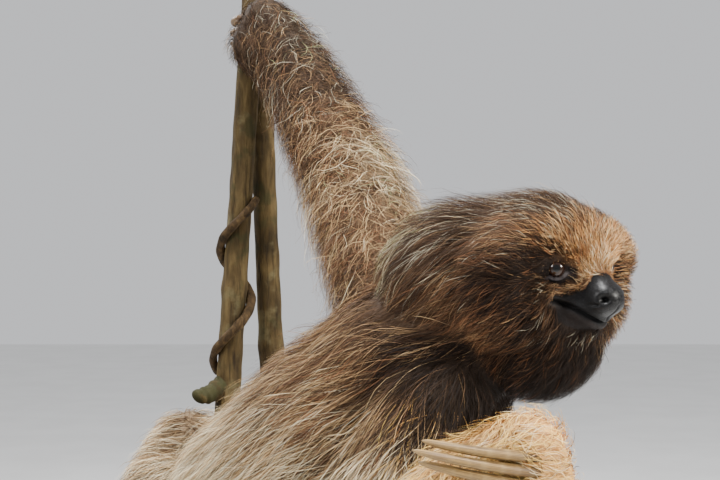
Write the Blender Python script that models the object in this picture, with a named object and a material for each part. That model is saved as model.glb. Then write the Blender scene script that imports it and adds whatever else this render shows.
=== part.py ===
"""A life-size museum model of a three-toed sloth that clings to two thin stems on a plain stand.

Run it with: blender --background --python part.py
Metres, +Z up. The origin is the centre of the stand's underside, and the animal faces +X and -Y.
Every solid of the animal reaches to the tips of its coat.
"""

from math import cos, pi, radians, sin, sqrt

import bmesh
import bpy
from mathutils import Matrix, Vector

# ---------------------------------------------------------------- driving sizes
GAP = 0.0004  # clearance between touching pieces
CUT = 0.0005  # width of the thin cuts that part one body piece from the next
BODY_GRAIN = 0.0052  # size of the cells in which the body is grown together
BODY_PASSES = 7  # smoothing passes that blend the muscles into one form
SNOUT_GRAIN = 0.0016
SNOUT_PASSES = 4

BASE_RADIUS = 0.195
BASE_HEIGHT = 0.022
BASE_EDGE = 0.004
ROD_RADIUS = 0.006

STEM_RADIUS = 0.0088
STEM_FOOT_Z = 0.100
STEM_TOP_Z = 0.800
KNOT_SWELL = 0.0010
KNOT_REACH = 0.012
VINE_RADIUS = 0.0038
VINE_PITCH = 0.0815
VINE_FRONT_Z = 0.482  # a height at which the vine crosses the front of its stem
VINE_LOW_Z = 0.452
VINE_HIGH_Z = 0.580

HEAD_CENTRE = Vector((0.1114, -0.150, 0.5275))
HEAD_TURN = radians(-50)  # turned from +X towards -Y
HEAD_PITCH = radians(0)
EYE_RADIUS = 0.0054
EYE_FORWARD = 0.0360
EYE_SIDE = 0.0180
EYE_UP = 0.0080

HAND_CLAW_ARC = 0.074
FOOT_CLAW_ARC = 0.056
OUTER_CLAW_SHARE = 0.95  # length of the outer claws against the middle one
CLAW_DEEP = 0.0042  # half depth of a claw at its root
CLAW_WIDE = 0.0031  # half width of a claw at its root

# ---------------------------------------------------------------- colours
FINISHES = {
    "coat": ((0.30, 0.22, 0.15), 0.9, 0.0),
    "snout": ((0.03, 0.03, 0.035), 0.45, 0.0),
    "eye": ((0.02, 0.014, 0.012), 0.08, 0.0),
    "claw": ((0.72, 0.60, 0.40), 0.45, 0.0),
    "bark": ((0.33, 0.28, 0.19), 0.9, 0.0),
    "vine": ((0.20, 0.13, 0.08), 0.9, 0.0),
    "base": ((0.10, 0.065, 0.04), 0.4, 0.0),
    "steel": ((0.55, 0.55, 0.56), 0.35, 1.0),
}


def clear_scene():
    for obj in list(bpy.data.objects):
        bpy.data.objects.remove(obj)


def finish(name):
    material = bpy.data.materials.get(name) or bpy.data.materials.new(name)
    material.use_nodes = True
    shader = material.node_tree.nodes["Principled BSDF"]
    colour, roughness, metallic = FINISHES[name]
    shader.inputs["Base Color"].default_value = (*colour, 1)
    shader.inputs["Roughness"].default_value = roughness
    shader.inputs["Metallic"].default_value = metallic
    return material


def new_object(name, mesh, material=None, smooth=True):
    obj = bpy.data.objects.new(name, mesh)
    bpy.context.scene.collection.objects.link(obj)
    if material:
        mesh.materials.clear()
        mesh.materials.append(finish(material))
    if smooth:
        mesh.shade_smooth()
        mesh.set_sharp_from_angle(angle=radians(50))
    return obj


def as_helper(obj):
    obj.hide_render = True
    obj.display_type = "WIRE"
    return obj


def evaluated_mesh(obj):
    """The mesh that obj's modifiers give, as a mesh of its own."""
    bpy.context.view_layer.update()
    graph = bpy.context.evaluated_depsgraph_get()
    return bpy.data.meshes.new_from_object(obj.evaluated_get(graph))


def bake(obj):
    """Applies obj's modifiers, so that no later step has to run them again."""
    mesh = evaluated_mesh(obj)
    obj.modifiers.clear()
    obj.data = mesh
    return obj


# ---------------------------------------------------------------- the head's own axes
def head_axes():
    """Columns forward, right and up of the head."""
    turn = Matrix.Rotation(HEAD_TURN, 3, "Z") @ Matrix.Rotation(-HEAD_PITCH, 3, "Y")
    columns = [turn @ Vector(own) for own in ((1, 0, 0), (0, -1, 0), (0, 0, 1))]
    return Matrix(columns).transposed()


HEAD_AXES = head_axes()


def on_head(forward, right, up):
    return HEAD_CENTRE + HEAD_AXES @ Vector((forward, right, up))


# ---------------------------------------------------------------- balls and the hulls between them
def unit_ball():
    """Evenly spread points on a ball of radius one."""
    bm = bmesh.new()
    bmesh.ops.create_icosphere(bm, subdivisions=2, radius=1)
    points = [vert.co.copy() for vert in bm.verts]
    bm.free()
    return points


UNIT_BALL = unit_ball()


def hull_mesh(balls):
    """One closed convex mesh round these balls, each (centre, radii) or (centre, radii, axes).

    radii is one size or three, along the columns of axes.
    """
    bm = bmesh.new()
    for centre, radii, *axes in balls:
        sizes = radii if isinstance(radii, tuple) else (radii,) * 3
        frame = axes[0] if axes else Matrix.Identity(3)
        for point in UNIT_BALL:
            bm.verts.new(Vector(centre) + frame @ Vector(c * r for c, r in zip(point, sizes)))
    bmesh.ops.convex_hull(bm, input=list(bm.verts))
    bmesh.ops.delete(bm, geom=[v for v in bm.verts if not v.link_faces], context="VERTS")
    bmesh.ops.recalc_face_normals(bm, faces=list(bm.faces))
    mesh = bpy.data.meshes.new("hull")
    bm.to_mesh(mesh)
    bm.free()
    return mesh


def flesh(name, chains, triangles, grain=BODY_GRAIN, passes=BODY_PASSES, material="coat"):
    """Hulls between neighbouring balls of each chain, grown together into one smooth closed form."""
    bm = bmesh.new()
    for chain in chains:
        pairs = list(zip(chain, chain[1:])) or [(chain[0],)]
        for pair in pairs:
            mesh = hull_mesh(pair)
            bm.from_mesh(mesh)
            bpy.data.meshes.remove(mesh)
    mesh = bpy.data.meshes.new(name)
    bm.to_mesh(mesh)
    bm.free()
    obj = new_object(name, mesh, material)
    grow = obj.modifiers.new("grow_together", "REMESH")
    grow.mode = "VOXEL"
    grow.voxel_size = grain
    blend = obj.modifiers.new("blend", "SMOOTH")
    blend.factor = 0.5
    blend.iterations = passes
    bake(obj)
    thin = obj.modifiers.new("thin_out", "DECIMATE")
    thin.ratio = min(1.0, triangles / max(1, sum(len(p.vertices) - 2 for p in obj.data.polygons)))
    return bake(obj)


# ---------------------------------------------------------------- cutting
def grown_copy(obj, by):
    copy = as_helper(new_object(obj.name + "_cutter", evaluated_mesh(obj), smooth=False))
    swell = copy.modifiers.new("swell", "DISPLACE")
    swell.mid_level = 0
    swell.strength = by
    return bake(copy)


def subtract(obj, cutter):
    cut = obj.modifiers.new("cut", "BOOLEAN")
    cut.operation = "DIFFERENCE"
    cut.solver = "EXACT"
    cut.object = cutter
    return bake(obj)


def make_room(obj, *others):
    """Takes each neighbour, and a small clearance round it, out of obj."""
    for other in others:
        cutter = grown_copy(other, GAP)
        subtract(obj, cutter)
        bpy.data.objects.remove(cutter)
    return obj


def largest_island(bm):
    """The vertices of the biggest loose part of bm."""
    left, best = set(bm.verts), set()
    while left:
        todo, part = [left.pop()], set()
        while todo:
            vert = todo.pop()
            part.add(vert)
            for edge in vert.link_edges:
                other = edge.other_vert(vert)
                if other in left:
                    left.remove(other)
                    todo.append(other)
        if len(part) > len(best):
            best = part
    return best


def one_side(obj, name, centre, outward):
    """A closed piece of obj on the near side of a plane. outward points to the side that goes."""
    bm = bmesh.new()
    bm.from_mesh(obj.data)
    bmesh.ops.bisect_plane(
        bm, geom=list(bm.verts) + list(bm.edges) + list(bm.faces), dist=1e-6,
        plane_co=centre, plane_no=outward, clear_outer=True,
    )
    rim = [e for e in bm.edges if e.is_boundary]
    caps = bmesh.ops.holes_fill(bm, edges=rim)["faces"]
    bmesh.ops.triangulate(bm, faces=caps)
    kept = largest_island(bm)
    bmesh.ops.delete(bm, geom=[v for v in bm.verts if v not in kept], context="VERTS")
    mesh = bpy.data.meshes.new(name)
    bm.to_mesh(mesh)
    bm.free()
    return new_object(name, mesh, "coat")


def part_across(obj, centre, along, near_name, far_name):
    """Parts obj by one thin cut through centre. along points from the near piece to the far one."""
    along = Vector(along).normalized()
    step = along * CUT / 2
    near = one_side(obj, near_name, Vector(centre) - step, along)
    far = one_side(obj, far_name, Vector(centre) + step, -along)
    bpy.data.objects.remove(obj)
    return near, far


# ---------------------------------------------------------------- stand and perch
STEM_SPOTS = {
    # the middle of each stem at two heights, and how far it bows towards -Y between its ends
    "left": ((-0.0770, 0.1100, 0.44), (-0.0610, 0.1110, 0.69), 0.003),
    "right": ((-0.0460, 0.1300, 0.44), (-0.0558, 0.1290, 0.69), 0.0),
}
STEM_KNOTS = {"left": (0.215, 0.345, 0.515, 0.755), "right": (0.165, 0.300, 0.470, 0.650)}


def stem_point(side, z):
    low, high, bow = STEM_SPOTS[side]
    share = (z - low[2]) / (high[2] - low[2])
    middle = (z - STEM_FOOT_Z) / (STEM_TOP_Z - STEM_FOOT_Z)
    return Vector(low).lerp(Vector(high), share) - Vector((0, bow * sin(pi * middle), 0))


def stem_radius(side, z):
    """A stem thins a little upwards and swells at its knots."""
    swell = sum(KNOT_SWELL * max(0.0, 1 - abs(z - knot) / KNOT_REACH) for knot in STEM_KNOTS[side])
    return STEM_RADIUS * (1.12 - 0.22 * z) + swell


def ring_tube(name, stations, sides, material):
    """A closed tube through stations (centre, along, radius), built as rings and bridged."""
    bm = bmesh.new()
    rings = []
    for centre, along, radius in stations:
        turn = Vector(along).to_track_quat("Z", "X").to_matrix().to_4x4()
        place = Matrix.Translation(centre) @ turn
        rings.append(bmesh.ops.create_circle(bm, segments=sides, radius=radius, matrix=place)["verts"])
    for low, high in zip(rings, rings[1:]):
        for k in range(sides):
            bm.faces.new((low[k], low[(k + 1) % sides], high[(k + 1) % sides], high[k]))
    bm.faces.new(list(reversed(rings[0])))
    bm.faces.new(rings[-1])
    bmesh.ops.recalc_face_normals(bm, faces=list(bm.faces))
    mesh = bpy.data.meshes.new(name)
    bm.to_mesh(mesh)
    bm.free()
    return new_object(name, mesh, material)


def make_stem(side):
    """A straightish stem with level cut ends."""
    steps = 8
    heights = [STEM_FOOT_Z + (STEM_TOP_Z - STEM_FOOT_Z) * k / steps for k in range(steps + 1)]
    knots = [knot + offset for knot in STEM_KNOTS[side] for offset in (-KNOT_REACH, 0, KNOT_REACH)]
    heights = sorted([z for z in heights if min(abs(z - k) for k in knots) > KNOT_REACH / 2] + knots)
    stations = [(stem_point(side, z), (0, 0, 1), stem_radius(side, z)) for z in heights]
    return ring_tube("perch_stem_" + side, stations, 8, "bark")


def make_vine():
    """A thin liana that winds up the left stem."""
    turns = (VINE_HIGH_Z - VINE_LOW_Z) / VINE_PITCH
    steps = round(turns * 10)
    stations = []
    for k in range(steps + 1):
        share = k / steps
        z = VINE_LOW_Z + (VINE_HIGH_Z - VINE_LOW_Z) * share
        angle = -pi / 2 + 2 * pi * (z - VINE_FRONT_Z) / VINE_PITCH
        thickness = VINE_RADIUS * (1 - 0.25 * abs(2 * share - 1))
        reach = stem_radius("left", z) + VINE_RADIUS + 2 * GAP
        centre = stem_point("left", z) + Vector((cos(angle), sin(angle), 0)) * reach
        rise = VINE_PITCH / (2 * pi * reach)
        stations.append((centre, (-sin(angle), cos(angle), rise), thickness))
    return ring_tube("perch_vine", stations, 6, "vine")


def make_side_branch(stem):
    """A mossy stub that leaves the left stem beside the foot."""
    start = stem_point("left", 0.447) + Vector((-0.002, 0, 0))
    end = Vector((-0.100, 0.088, 0.437))
    steps = 5
    stations = []
    for k in range(steps + 1):
        share = k / steps
        centre = start.lerp(end, share) + Vector((0, 0, -0.004 * sin(pi * share)))
        stations.append((centre, end - start, 0.0078 - 0.0022 * share))
    branch = ring_tube("perch_branch", stations, 10, "bark")
    return make_room(branch, stem)


def make_stand():
    bm = bmesh.new()
    bmesh.ops.create_cone(
        bm, cap_ends=True, segments=40, radius1=BASE_RADIUS, radius2=BASE_RADIUS, depth=BASE_HEIGHT,
        matrix=Matrix.Translation((0, 0, BASE_HEIGHT / 2)),
    )
    rim = [e for e in bm.edges if all(v.co.z > BASE_HEIGHT / 2 for v in e.verts) and len(e.link_faces) == 2]
    bmesh.ops.bevel(bm, geom=rim, offset=BASE_EDGE, segments=2, profile=0.5, affect="EDGES")
    mesh = bpy.data.meshes.new("stand_base")
    bm.to_mesh(mesh)
    bm.free()
    new_object("stand_base", mesh, "base")
    for side in STEM_SPOTS:
        foot = stem_point(side, STEM_FOOT_Z)
        low = Vector((foot.x, foot.y, BASE_HEIGHT + GAP))
        high = Vector((foot.x, foot.y, STEM_FOOT_Z - GAP))
        stations = [(low, (0, 0, 1), ROD_RADIUS), (high, (0, 0, 1), ROD_RADIUS)]
        ring_tube("stand_rod_" + side, stations, 12, "steel")


# ---------------------------------------------------------------- the animal's joints
TRUNK = [
    # centre, radius across, from the rump to the base of the neck
    (Vector((-0.074, 0.004, 0.226)), 0.050),
    (Vector((-0.064, 0.004, 0.275)), 0.071),
    (Vector((-0.048, -0.022, 0.330)), 0.081),
    (Vector((-0.019, -0.058, 0.381)), 0.083),
    (Vector((0.018, -0.093, 0.430)), 0.075),
    (Vector((0.052, -0.120, 0.474)), 0.061),
]
NECK = (Vector((0.082, -0.136, 0.503)), 0.050)
RUFF = (Vector((0.076, -0.136, 0.527)), 0.048)
TAIL_ROOT = (Vector((-0.084, -0.018, 0.206)), 0.022)
TAIL_TIP = (Vector((-0.094, -0.042, 0.170)), 0.013)

LEFT_ARM = {
    "shoulder": (Vector((0.044, -0.072, 0.496)), 0.041),
    "elbow": (Vector((0.016, 0.008, 0.586)), 0.0405),
    "wrist": (Vector((-0.030, 0.078, 0.680)), 0.0315),
    "knuckles": (Vector((-0.054, 0.086, 0.700)), 0.020),
}
RIGHT_ARM = {
    "shoulder": (Vector((0.062, -0.160, 0.455)), 0.043),
    "elbow": (Vector((0.009, -0.184, 0.349)), 0.034),
    "wrist": (Vector((0.070, -0.243, 0.434)), 0.028),
    "knuckles": (Vector((0.101, -0.262, 0.447)), 0.0195),
}
LEFT_LEG = {
    "hip": (Vector((-0.090, 0.002, 0.272)), 0.050),
    "knee": (Vector((-0.104, -0.008, 0.378)), 0.038),
    "ankle": (Vector((-0.101, 0.078, 0.408)), 0.029),
    "toes": (Vector((-0.106, 0.104, 0.400)), 0.0165),
}
RIGHT_LEG = {
    "hip": (Vector((-0.020, 0.000, 0.262)), 0.050),
    "knee": (Vector((0.046, 0.052, 0.310)), 0.037),
    "ankle": (Vector((-0.002, 0.098, 0.240)), 0.028),
    "toes": (Vector((-0.010, 0.124, 0.236)), 0.0165),
}


def unit(*numbers):
    return Vector(numbers).normalized()


# Where each set of claws leaves its paw, which way it sets off, and which way and how far it bends.
CLAW_SEATS = {
    "left_hand": {
        "root": Vector((-0.0672, 0.0940, 0.7020)),
        "along": unit(-0.574, 0.819, 0.04), "inward": unit(0.819, 0.574, 0.0),
        "arc": HAND_CLAW_ARC, "turn": radians(120), "spread": 0.0088, "converge": 0.05,
    },
    "right_hand": {
        "root": Vector((0.1090, -0.2630, 0.4450)),
        "along": unit(-0.56, -0.80, 0.114), "inward": unit(-0.80, 0.56, 0.134),
        "arc": HAND_CLAW_ARC, "turn": radians(88), "spread": 0.0080, "converge": 0.064,
    },
    "left_foot": {
        "root": Vector((-0.1040, 0.1100, 0.4000)),
        "along": unit(0.05, 1, 0.03), "inward": unit(1, -0.05, 0.02),
        "arc": FOOT_CLAW_ARC, "turn": radians(150), "spread": 0.0085, "converge": 0.05,
    },
    "right_foot": {
        "root": Vector((-0.0120, 0.1320, 0.2360)),
        "along": unit(-0.10, 1, -0.02), "inward": unit(-1, -0.10, 0.02),
        "arc": FOOT_CLAW_ARC, "turn": radians(150), "spread": 0.0085, "converge": 0.05,
    },
}
# Which way each hand or foot is broad.
PAW_ACROSS = {
    "left_arm": unit(-0.42, 0.05, -0.90),
    "right_arm": unit(-0.28, -0.10, 0.95),
    "left_leg": unit(0.05, -0.10, 1),
    "right_leg": unit(0.05, 0.10, 1),
}


def between(a, b, share):
    return a.lerp(b, share)


# ---------------------------------------------------------------- head, neck and trunk
def head_balls():
    axes = HEAD_AXES
    skull = (on_head(-0.003, 0, 0.003), (0.053, 0.055, 0.047), axes)
    brow = (on_head(0.013, -0.001, 0.006), (0.038, 0.058, 0.040), axes)
    throat = (on_head(-0.001, 0.001, -0.030), (0.041, 0.042, 0.037), axes)
    chin = (on_head(0.026, 0, -0.022), (0.019, 0.022, 0.014), axes)
    cheeks = [(on_head(0.008, side * 0.024, -0.008), (0.033, 0.033, 0.034), axes) for side in (-1, 1)]
    return skull, brow, throat, chin, cheeks


def make_body():
    """Head, neck, trunk and tail, grown as one form."""
    skull, brow, throat, chin, cheeks = head_balls()
    chains = [
        TRUNK + [NECK],
        [TRUNK[-1], RUFF],
        [NECK, skull],
        [RUFF, skull],
        [skull, brow],
        [throat, chin],
        [NECK, throat],
        [brow, cheeks[0], throat],
        [brow, cheeks[1], throat],
        [TRUNK[0], TAIL_ROOT, TAIL_TIP],
    ]
    return flesh("body", chains, 1400)


def part_body(body):
    """Saws the grown form into head, neck, chest, belly and tail, and gives back the head."""
    face = HEAD_AXES.col[0]
    neck_line = (NECK[0] - TRUNK[-1][0]).normalized()
    rest, head = part_across(body, on_head(-0.030, 0, 0), face + neck_line, "rest", "head")
    rest, _ = part_across(rest, between(TRUNK[-1][0], NECK[0], 0.3), neck_line, "rest", "neck")
    rest, _ = part_across(rest, TRUNK[3][0], TRUNK[4][0] - TRUNK[2][0], "rest", "chest")
    part_across(rest, between(TAIL_ROOT[0], TAIL_TIP[0], 0.4), TAIL_TIP[0] - TAIL_ROOT[0], "belly", "tail")
    return head


def make_limb(name, joints, order, half_width, triangles):
    """One arm or leg as a chain of balls, with a broad hand or foot at its end."""
    balls = [joints[key] for key in order]
    centre, radius = balls[-1]
    paw = [(centre + PAW_ACROSS[name] * side * half_width, radius) for side in (-1, 1)]
    chains = [balls[:-1]]
    for side in (0, 1):
        chains.append([balls[-2], paw[side]])
    chains.append(paw)
    return flesh(name, chains, triangles)


def part_limb(limb, joints, order, upper, lower, paw):
    """Parts a limb at its two joints and gives back the hand or foot."""
    first, second, third, fourth = (joints[key][0] for key in order)
    bend = (second - first).normalized() + (third - second).normalized()
    fold = (third - second).normalized() + (fourth - third).normalized()
    _, rest = part_across(limb, second, bend, upper, "rest")
    _, end = part_across(rest, between(third, fourth, 0.1), fold, lower, paw)
    return end


# ---------------------------------------------------------------- claws
def claw_stations(root, along, inward, arc, turn):
    """Centres and directions of a claw that leaves root and bends inward through the angle turn."""
    steps = 6
    stations = []
    centre = Vector(root)
    for k in range(steps + 1):
        share = k / steps
        angle = turn * share
        direction = (along * cos(angle) + inward * sin(angle)).normalized()
        stations.append((centre.copy(), direction, share))
        centre = centre + direction * arc / steps
    return stations


def make_claw(name, stations, across, grow=0.0, extra_root=0.0):
    """A tapered horn, deeper than it is wide, with a blunt tip."""
    sides = 7
    bm = bmesh.new()
    rings = []
    for centre, direction, share in stations:
        depth_axis = direction.cross(across).normalized()
        taper = (1 - 0.45 * share) * sqrt(max(0.0, 1 - share**6 * 0.80))
        wide = CLAW_WIDE * taper + grow
        deep = CLAW_DEEP * taper + grow
        ring = []
        for k in range(sides):
            angle = 2 * pi * k / sides
            offset = across * wide * cos(angle) + depth_axis * deep * sin(angle)
            ring.append(bm.verts.new(centre + offset))
        rings.append(ring)
    if extra_root:
        back = stations[0][1] * -extra_root
        for vert in rings[0]:
            vert.co += back
    tip = stations[-1][0] + stations[-1][1] * (0.0012 + grow)
    for low, high in zip(rings, rings[1:]):
        for k in range(sides):
            bm.faces.new((low[k], low[(k + 1) % sides], high[(k + 1) % sides], high[k]))
    bm.faces.new(list(reversed(rings[0])))
    point = bm.verts.new(tip)
    for k in range(sides):
        bm.faces.new((rings[-1][k], rings[-1][(k + 1) % sides], point))
    bmesh.ops.recalc_face_normals(bm, faces=list(bm.faces))
    mesh = bpy.data.meshes.new(name)
    bm.to_mesh(mesh)
    bm.free()
    return new_object(name, mesh, "claw")


def make_claws(paw, seat):
    """Three claws side by side, each seated in a socket that is cut for it in the paw."""
    along, inward = seat["along"], seat["inward"]
    across = along.cross(inward).normalized()
    for number, side in (("1", -1), ("2", 0), ("3", 1)):
        start = seat["root"] + across * side * seat["spread"]
        toe = (along - across * side * seat["converge"]).normalized()
        arc = seat["arc"] * (1.0 if side == 0 else OUTER_CLAW_SHARE)
        stations = claw_stations(start, toe, inward, arc, seat["turn"])
        socket = make_claw("socket", stations, across, grow=GAP, extra_root=GAP)
        subtract(paw, as_helper(socket))
        bpy.data.objects.remove(socket)
        make_claw(paw.name + "_claw_" + number, stations, across)


# ---------------------------------------------------------------- face
def make_snout():
    """The bare muzzle, with its nose pad."""
    axes = HEAD_AXES
    chains = [
        [
            (on_head(0.034, 0, -0.001), (0.014, 0.0165, 0.0130), axes),
            (on_head(0.052, 0, -0.0055), (0.0115, 0.0125, 0.0095), axes),
        ],
        [
            (on_head(0.034, 0, -0.011), (0.013, 0.0160, 0.0115), axes),
            (on_head(0.0455, 0, -0.0170), (0.0100, 0.0105, 0.0075), axes),
        ],
    ]
    return flesh("snout", chains, 320, SNOUT_GRAIN, SNOUT_PASSES, "snout")


def make_eye(side, name):
    bm = bmesh.new()
    centre = on_head(EYE_FORWARD, side * EYE_SIDE, EYE_UP)
    bmesh.ops.create_uvsphere(
        bm, u_segments=12, v_segments=6, radius=EYE_RADIUS, matrix=Matrix.Translation(centre)
    )
    mesh = bpy.data.meshes.new(name)
    bm.to_mesh(mesh)
    bm.free()
    return new_object(name, mesh, "eye")


def open_socket(head, side):
    """A funnel in the coat, from the eyeball outwards."""
    outward = (HEAD_AXES @ Vector((0.80, side * 0.58, 0.10))).normalized()
    centre = on_head(EYE_FORWARD, side * EYE_SIDE, EYE_UP)
    balls = [(centre, EYE_RADIUS + GAP), (centre + outward * 0.014, 0.0105)]
    funnel = as_helper(new_object("funnel", hull_mesh(balls), smooth=False))
    subtract(head, funnel)
    bpy.data.objects.remove(funnel)


# ---------------------------------------------------------------- everything
def main():
    clear_scene()
    stems = {side: make_stem(side) for side in STEM_SPOTS}
    vine = make_vine()
    branch = make_side_branch(stems["left"])
    make_stand()

    body = make_body()
    arm_order = ("shoulder", "elbow", "wrist", "knuckles")
    leg_order = ("hip", "knee", "ankle", "toes")
    left_arm = make_limb("left_arm", LEFT_ARM, arm_order, 0.012, 460)
    right_arm = make_limb("right_arm", RIGHT_ARM, arm_order, 0.011, 460)
    left_leg = make_limb("left_leg", LEFT_LEG, leg_order, 0.009, 380)
    right_leg = make_limb("right_leg", RIGHT_LEG, leg_order, 0.009, 380)
    make_room(left_arm, stems["left"], stems["right"], vine, body)
    make_room(right_arm, body)
    make_room(left_leg, stems["left"], branch, body)
    make_room(right_leg, stems["right"], left_leg, body)

    head = part_body(body)
    snout = make_snout()
    for side, name in ((-1, "eye_left"), (1, "eye_right")):
        open_socket(head, side)
        make_eye(side, name)
    make_room(head, snout)

    left_hand = part_limb(left_arm, LEFT_ARM, arm_order, "left_upper_arm", "left_forearm", "left_hand")
    right_hand = part_limb(right_arm, RIGHT_ARM, arm_order, "right_upper_arm", "right_forearm", "right_hand")
    left_foot = part_limb(left_leg, LEFT_LEG, leg_order, "left_thigh", "left_shin", "left_foot")
    right_foot = part_limb(right_leg, RIGHT_LEG, leg_order, "right_thigh", "right_shin", "right_foot")

    for paw in (left_hand, right_hand, left_foot, right_foot):
        make_claws(paw, CLAW_SEATS[paw.name])


main()
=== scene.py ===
"""The finished three-toed sloth: skin, coat, face, eyes, claws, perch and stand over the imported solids.

Metres, +Z up. The face looks between +X and -Y, and the stems stand towards +Y.
"""

from math import cos, pi, radians, sin, sqrt

import bmesh
import bpy
import numpy as np
from mathutils import Matrix, Vector
from mathutils.bvhtree import BVHTree
from mathutils.kdtree import KDTree


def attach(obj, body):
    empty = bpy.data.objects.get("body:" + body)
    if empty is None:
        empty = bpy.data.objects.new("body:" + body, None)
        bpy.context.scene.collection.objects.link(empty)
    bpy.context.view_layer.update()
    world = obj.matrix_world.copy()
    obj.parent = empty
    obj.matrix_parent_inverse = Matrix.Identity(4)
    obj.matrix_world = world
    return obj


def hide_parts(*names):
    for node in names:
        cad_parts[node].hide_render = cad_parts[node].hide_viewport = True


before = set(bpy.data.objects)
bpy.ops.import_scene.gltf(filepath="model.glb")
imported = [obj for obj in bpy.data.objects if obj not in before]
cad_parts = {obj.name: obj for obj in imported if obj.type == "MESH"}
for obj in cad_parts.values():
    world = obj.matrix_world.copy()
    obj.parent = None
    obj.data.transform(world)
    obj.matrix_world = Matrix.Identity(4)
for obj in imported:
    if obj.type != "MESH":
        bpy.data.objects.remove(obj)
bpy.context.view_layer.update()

# ---------------------------------------------------------------- the head's own axes
HEAD_CENTRE = np.array((0.1114, -0.150, 0.5275))
HEAD_TURN = radians(-50)  # turned from +X towards -Y
# rows forward, right and up of the head
HEAD_AXES = np.array((
    (cos(HEAD_TURN), sin(HEAD_TURN), 0),
    (sin(HEAD_TURN), -cos(HEAD_TURN), 0),
    (0, 0, 1),
))


def on_head(points):
    """Points or one point given along forward, right and up of the head, in the row frame."""
    return HEAD_CENTRE + np.asarray(points) @ HEAD_AXES


def in_head(points):
    """Points of the row frame along forward, right and up of the head."""
    return (np.asarray(points) - HEAD_CENTRE) @ HEAD_AXES.T


# ---------------------------------------------------------------- joints of the body
# One row a joint: x, y, z, the radius out to the tips of the coat, the depth of the coat and the length
# of its hairs in millimetres, then how curly they are and the way that they lie (x, y, z) in percent.
JOINT_UNITS = (1000,) * 6 + (100,) * 4
JOINTS = {
    "trunk": [
        (-74, 4, 226, 50, 14, 46, 16, -40, 10, -90),
        (-64, 4, 275, 71, 16, 50, 18, -55, 10, -85),
        (-48, -22, 330, 81, 17, 52, 18, -60, 10, -80),
        (-19, -58, 381, 83, 17, 52, 18, -70, 10, -72),
        (18, -93, 430, 75, 16, 48, 18, -80, 15, -60),
        (52, -120, 474, 58, 12, 40, 20, -90, 15, -40),
        (82, -136, 503, 46, 10, 34, 20, -90, 15, -40),
    ],
    "nape": [
        (110, -148, 530, 46, 12, 40, 20, -85, 15, -45),
        (76, -136, 527, 51, 14, 46, 20, -75, 12, -65),
    ],
    "tail": [
        (-74, 4, 226, 50, 14, 40, 10, -40, -30, -90),
        (-84, -18, 206, 22, 8, 26, 15, -20, -50, -90),
        (-94, -42, 170, 13, 6, 18, 15, -20, -50, -90),
    ],
    "left_arm": [
        (44, -72, 496, 41, 13, 38, 65, -15, 5, -100),
        (16, 8, 586, 40.5, 13, 36, 80, 5, -10, -100),
        (-30, 78, 680, 31.5, 9, 28, 80, 0, -10, -100),
        (-54, 86, 700, 20, 4.5, 16, 50, 30, -30, -90),
    ],
    "right_arm": [
        (62, -160, 455, 43, 14, 40, 20, -30, -5, -95),
        (9, -184, 349, 34, 10, 40, 25, -20, 5, -100),
        (70, -243, 434, 28, 7, 28, 40, -20, 20, -80),
        (101, -262, 447, 19.5, 4, 20, 45, -60, -55, 15),
    ],
    "left_leg": [
        (-90, 2, 272, 50, 15, 46, 15, -45, 5, -90),
        (-104, -8, 378, 38, 11, 34, 30, -50, 0, -80),
        (-101, 78, 408, 29, 8, 24, 35, 5, 10, -90),
        (-106, 104, 400, 16.5, 4, 13, 40, 0, 70, -50),
    ],
    "right_leg": [
        (-20, 0, 262, 50, 15, 46, 15, -10, 5, -95),
        (46, 52, 310, 37, 11, 36, 20, 10, 20, -90),
        (-2, 98, 240, 28, 8, 24, 30, -10, 30, -80),
        (-10, 124, 236, 16.5, 4, 13, 40, -10, 70, -50),
    ],
}
# Which way each hand or foot is broad, and by how much to each side of its last joint.
PAW_ACROSS = {
    "left_arm": ((-0.42, 0.05, -0.90), 0.012),
    "right_arm": ((-0.28, -0.10, 0.95), 0.011),
    "left_leg": ((0.05, -0.10, 1.0), 0.009),
    "right_leg": ((0.05, 0.10, 1.0), 0.009),
}


def both(forward, right, *rest):
    """A row of a table of the head, and its mirror image on the other side."""
    return (forward, right, *rest), (forward, -right, *rest)


# Ovals of the head, along forward, right and up: centre, radii to the tips of the coat, the depth of
# the coat and the length of its hairs in millimetres, and their curl in percent.
HEAD_OVALS = np.array([
    (-3, 0, 3, 53, 55, 47, 11, 30, 20),  # skull
    (13, -1, 14, 40.5, 61, 30, 7, 15, 28),  # brow
    (-1, 1, -30, 41, 42, 37, 11, 28, 24),  # throat
    (26, 0, -22, 19, 22, 14, 5, 7, 15),  # chin
    *both(9, -25, -8, 35, 34, 34, 10, 22, 26),  # cheeks
]) / ((1000,) * 8 + (100,))
BLEND = 0.004  # how softly one part runs into the next


def lengths(vectors):
    return np.linalg.norm(vectors, axis=1)


def unit(vectors):
    vectors = np.asarray(vectors, float)
    return vectors / (np.linalg.norm(vectors, axis=-1, keepdims=True) + 1e-12)


def bump(values, width):
    return np.exp(-((values / width) ** 2))


def ramp(values, low, high):
    share = np.clip((values - low) / (high - low), 0, 1)
    return share * share * (3 - 2 * share)


def segments(name, rows):
    """Pairs of joints down a part of the body. A limb ends in two side by side for its broad paw."""
    rows = np.array(rows) / JOINT_UNITS
    if name not in PAW_ACROSS:
        return list(zip(rows, rows[1:]))
    across, half = PAW_ACROSS[name]
    shift = np.zeros(10)
    shift[:3] = unit(across) * half
    upper, lower, wrist, paw = rows
    return [(upper, lower), (lower, wrist), (wrist, paw - shift), (wrist, paw + shift)]


PARTS = {name: segments(name, rows) for name, rows in JOINTS.items()} | {"head": None}


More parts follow.
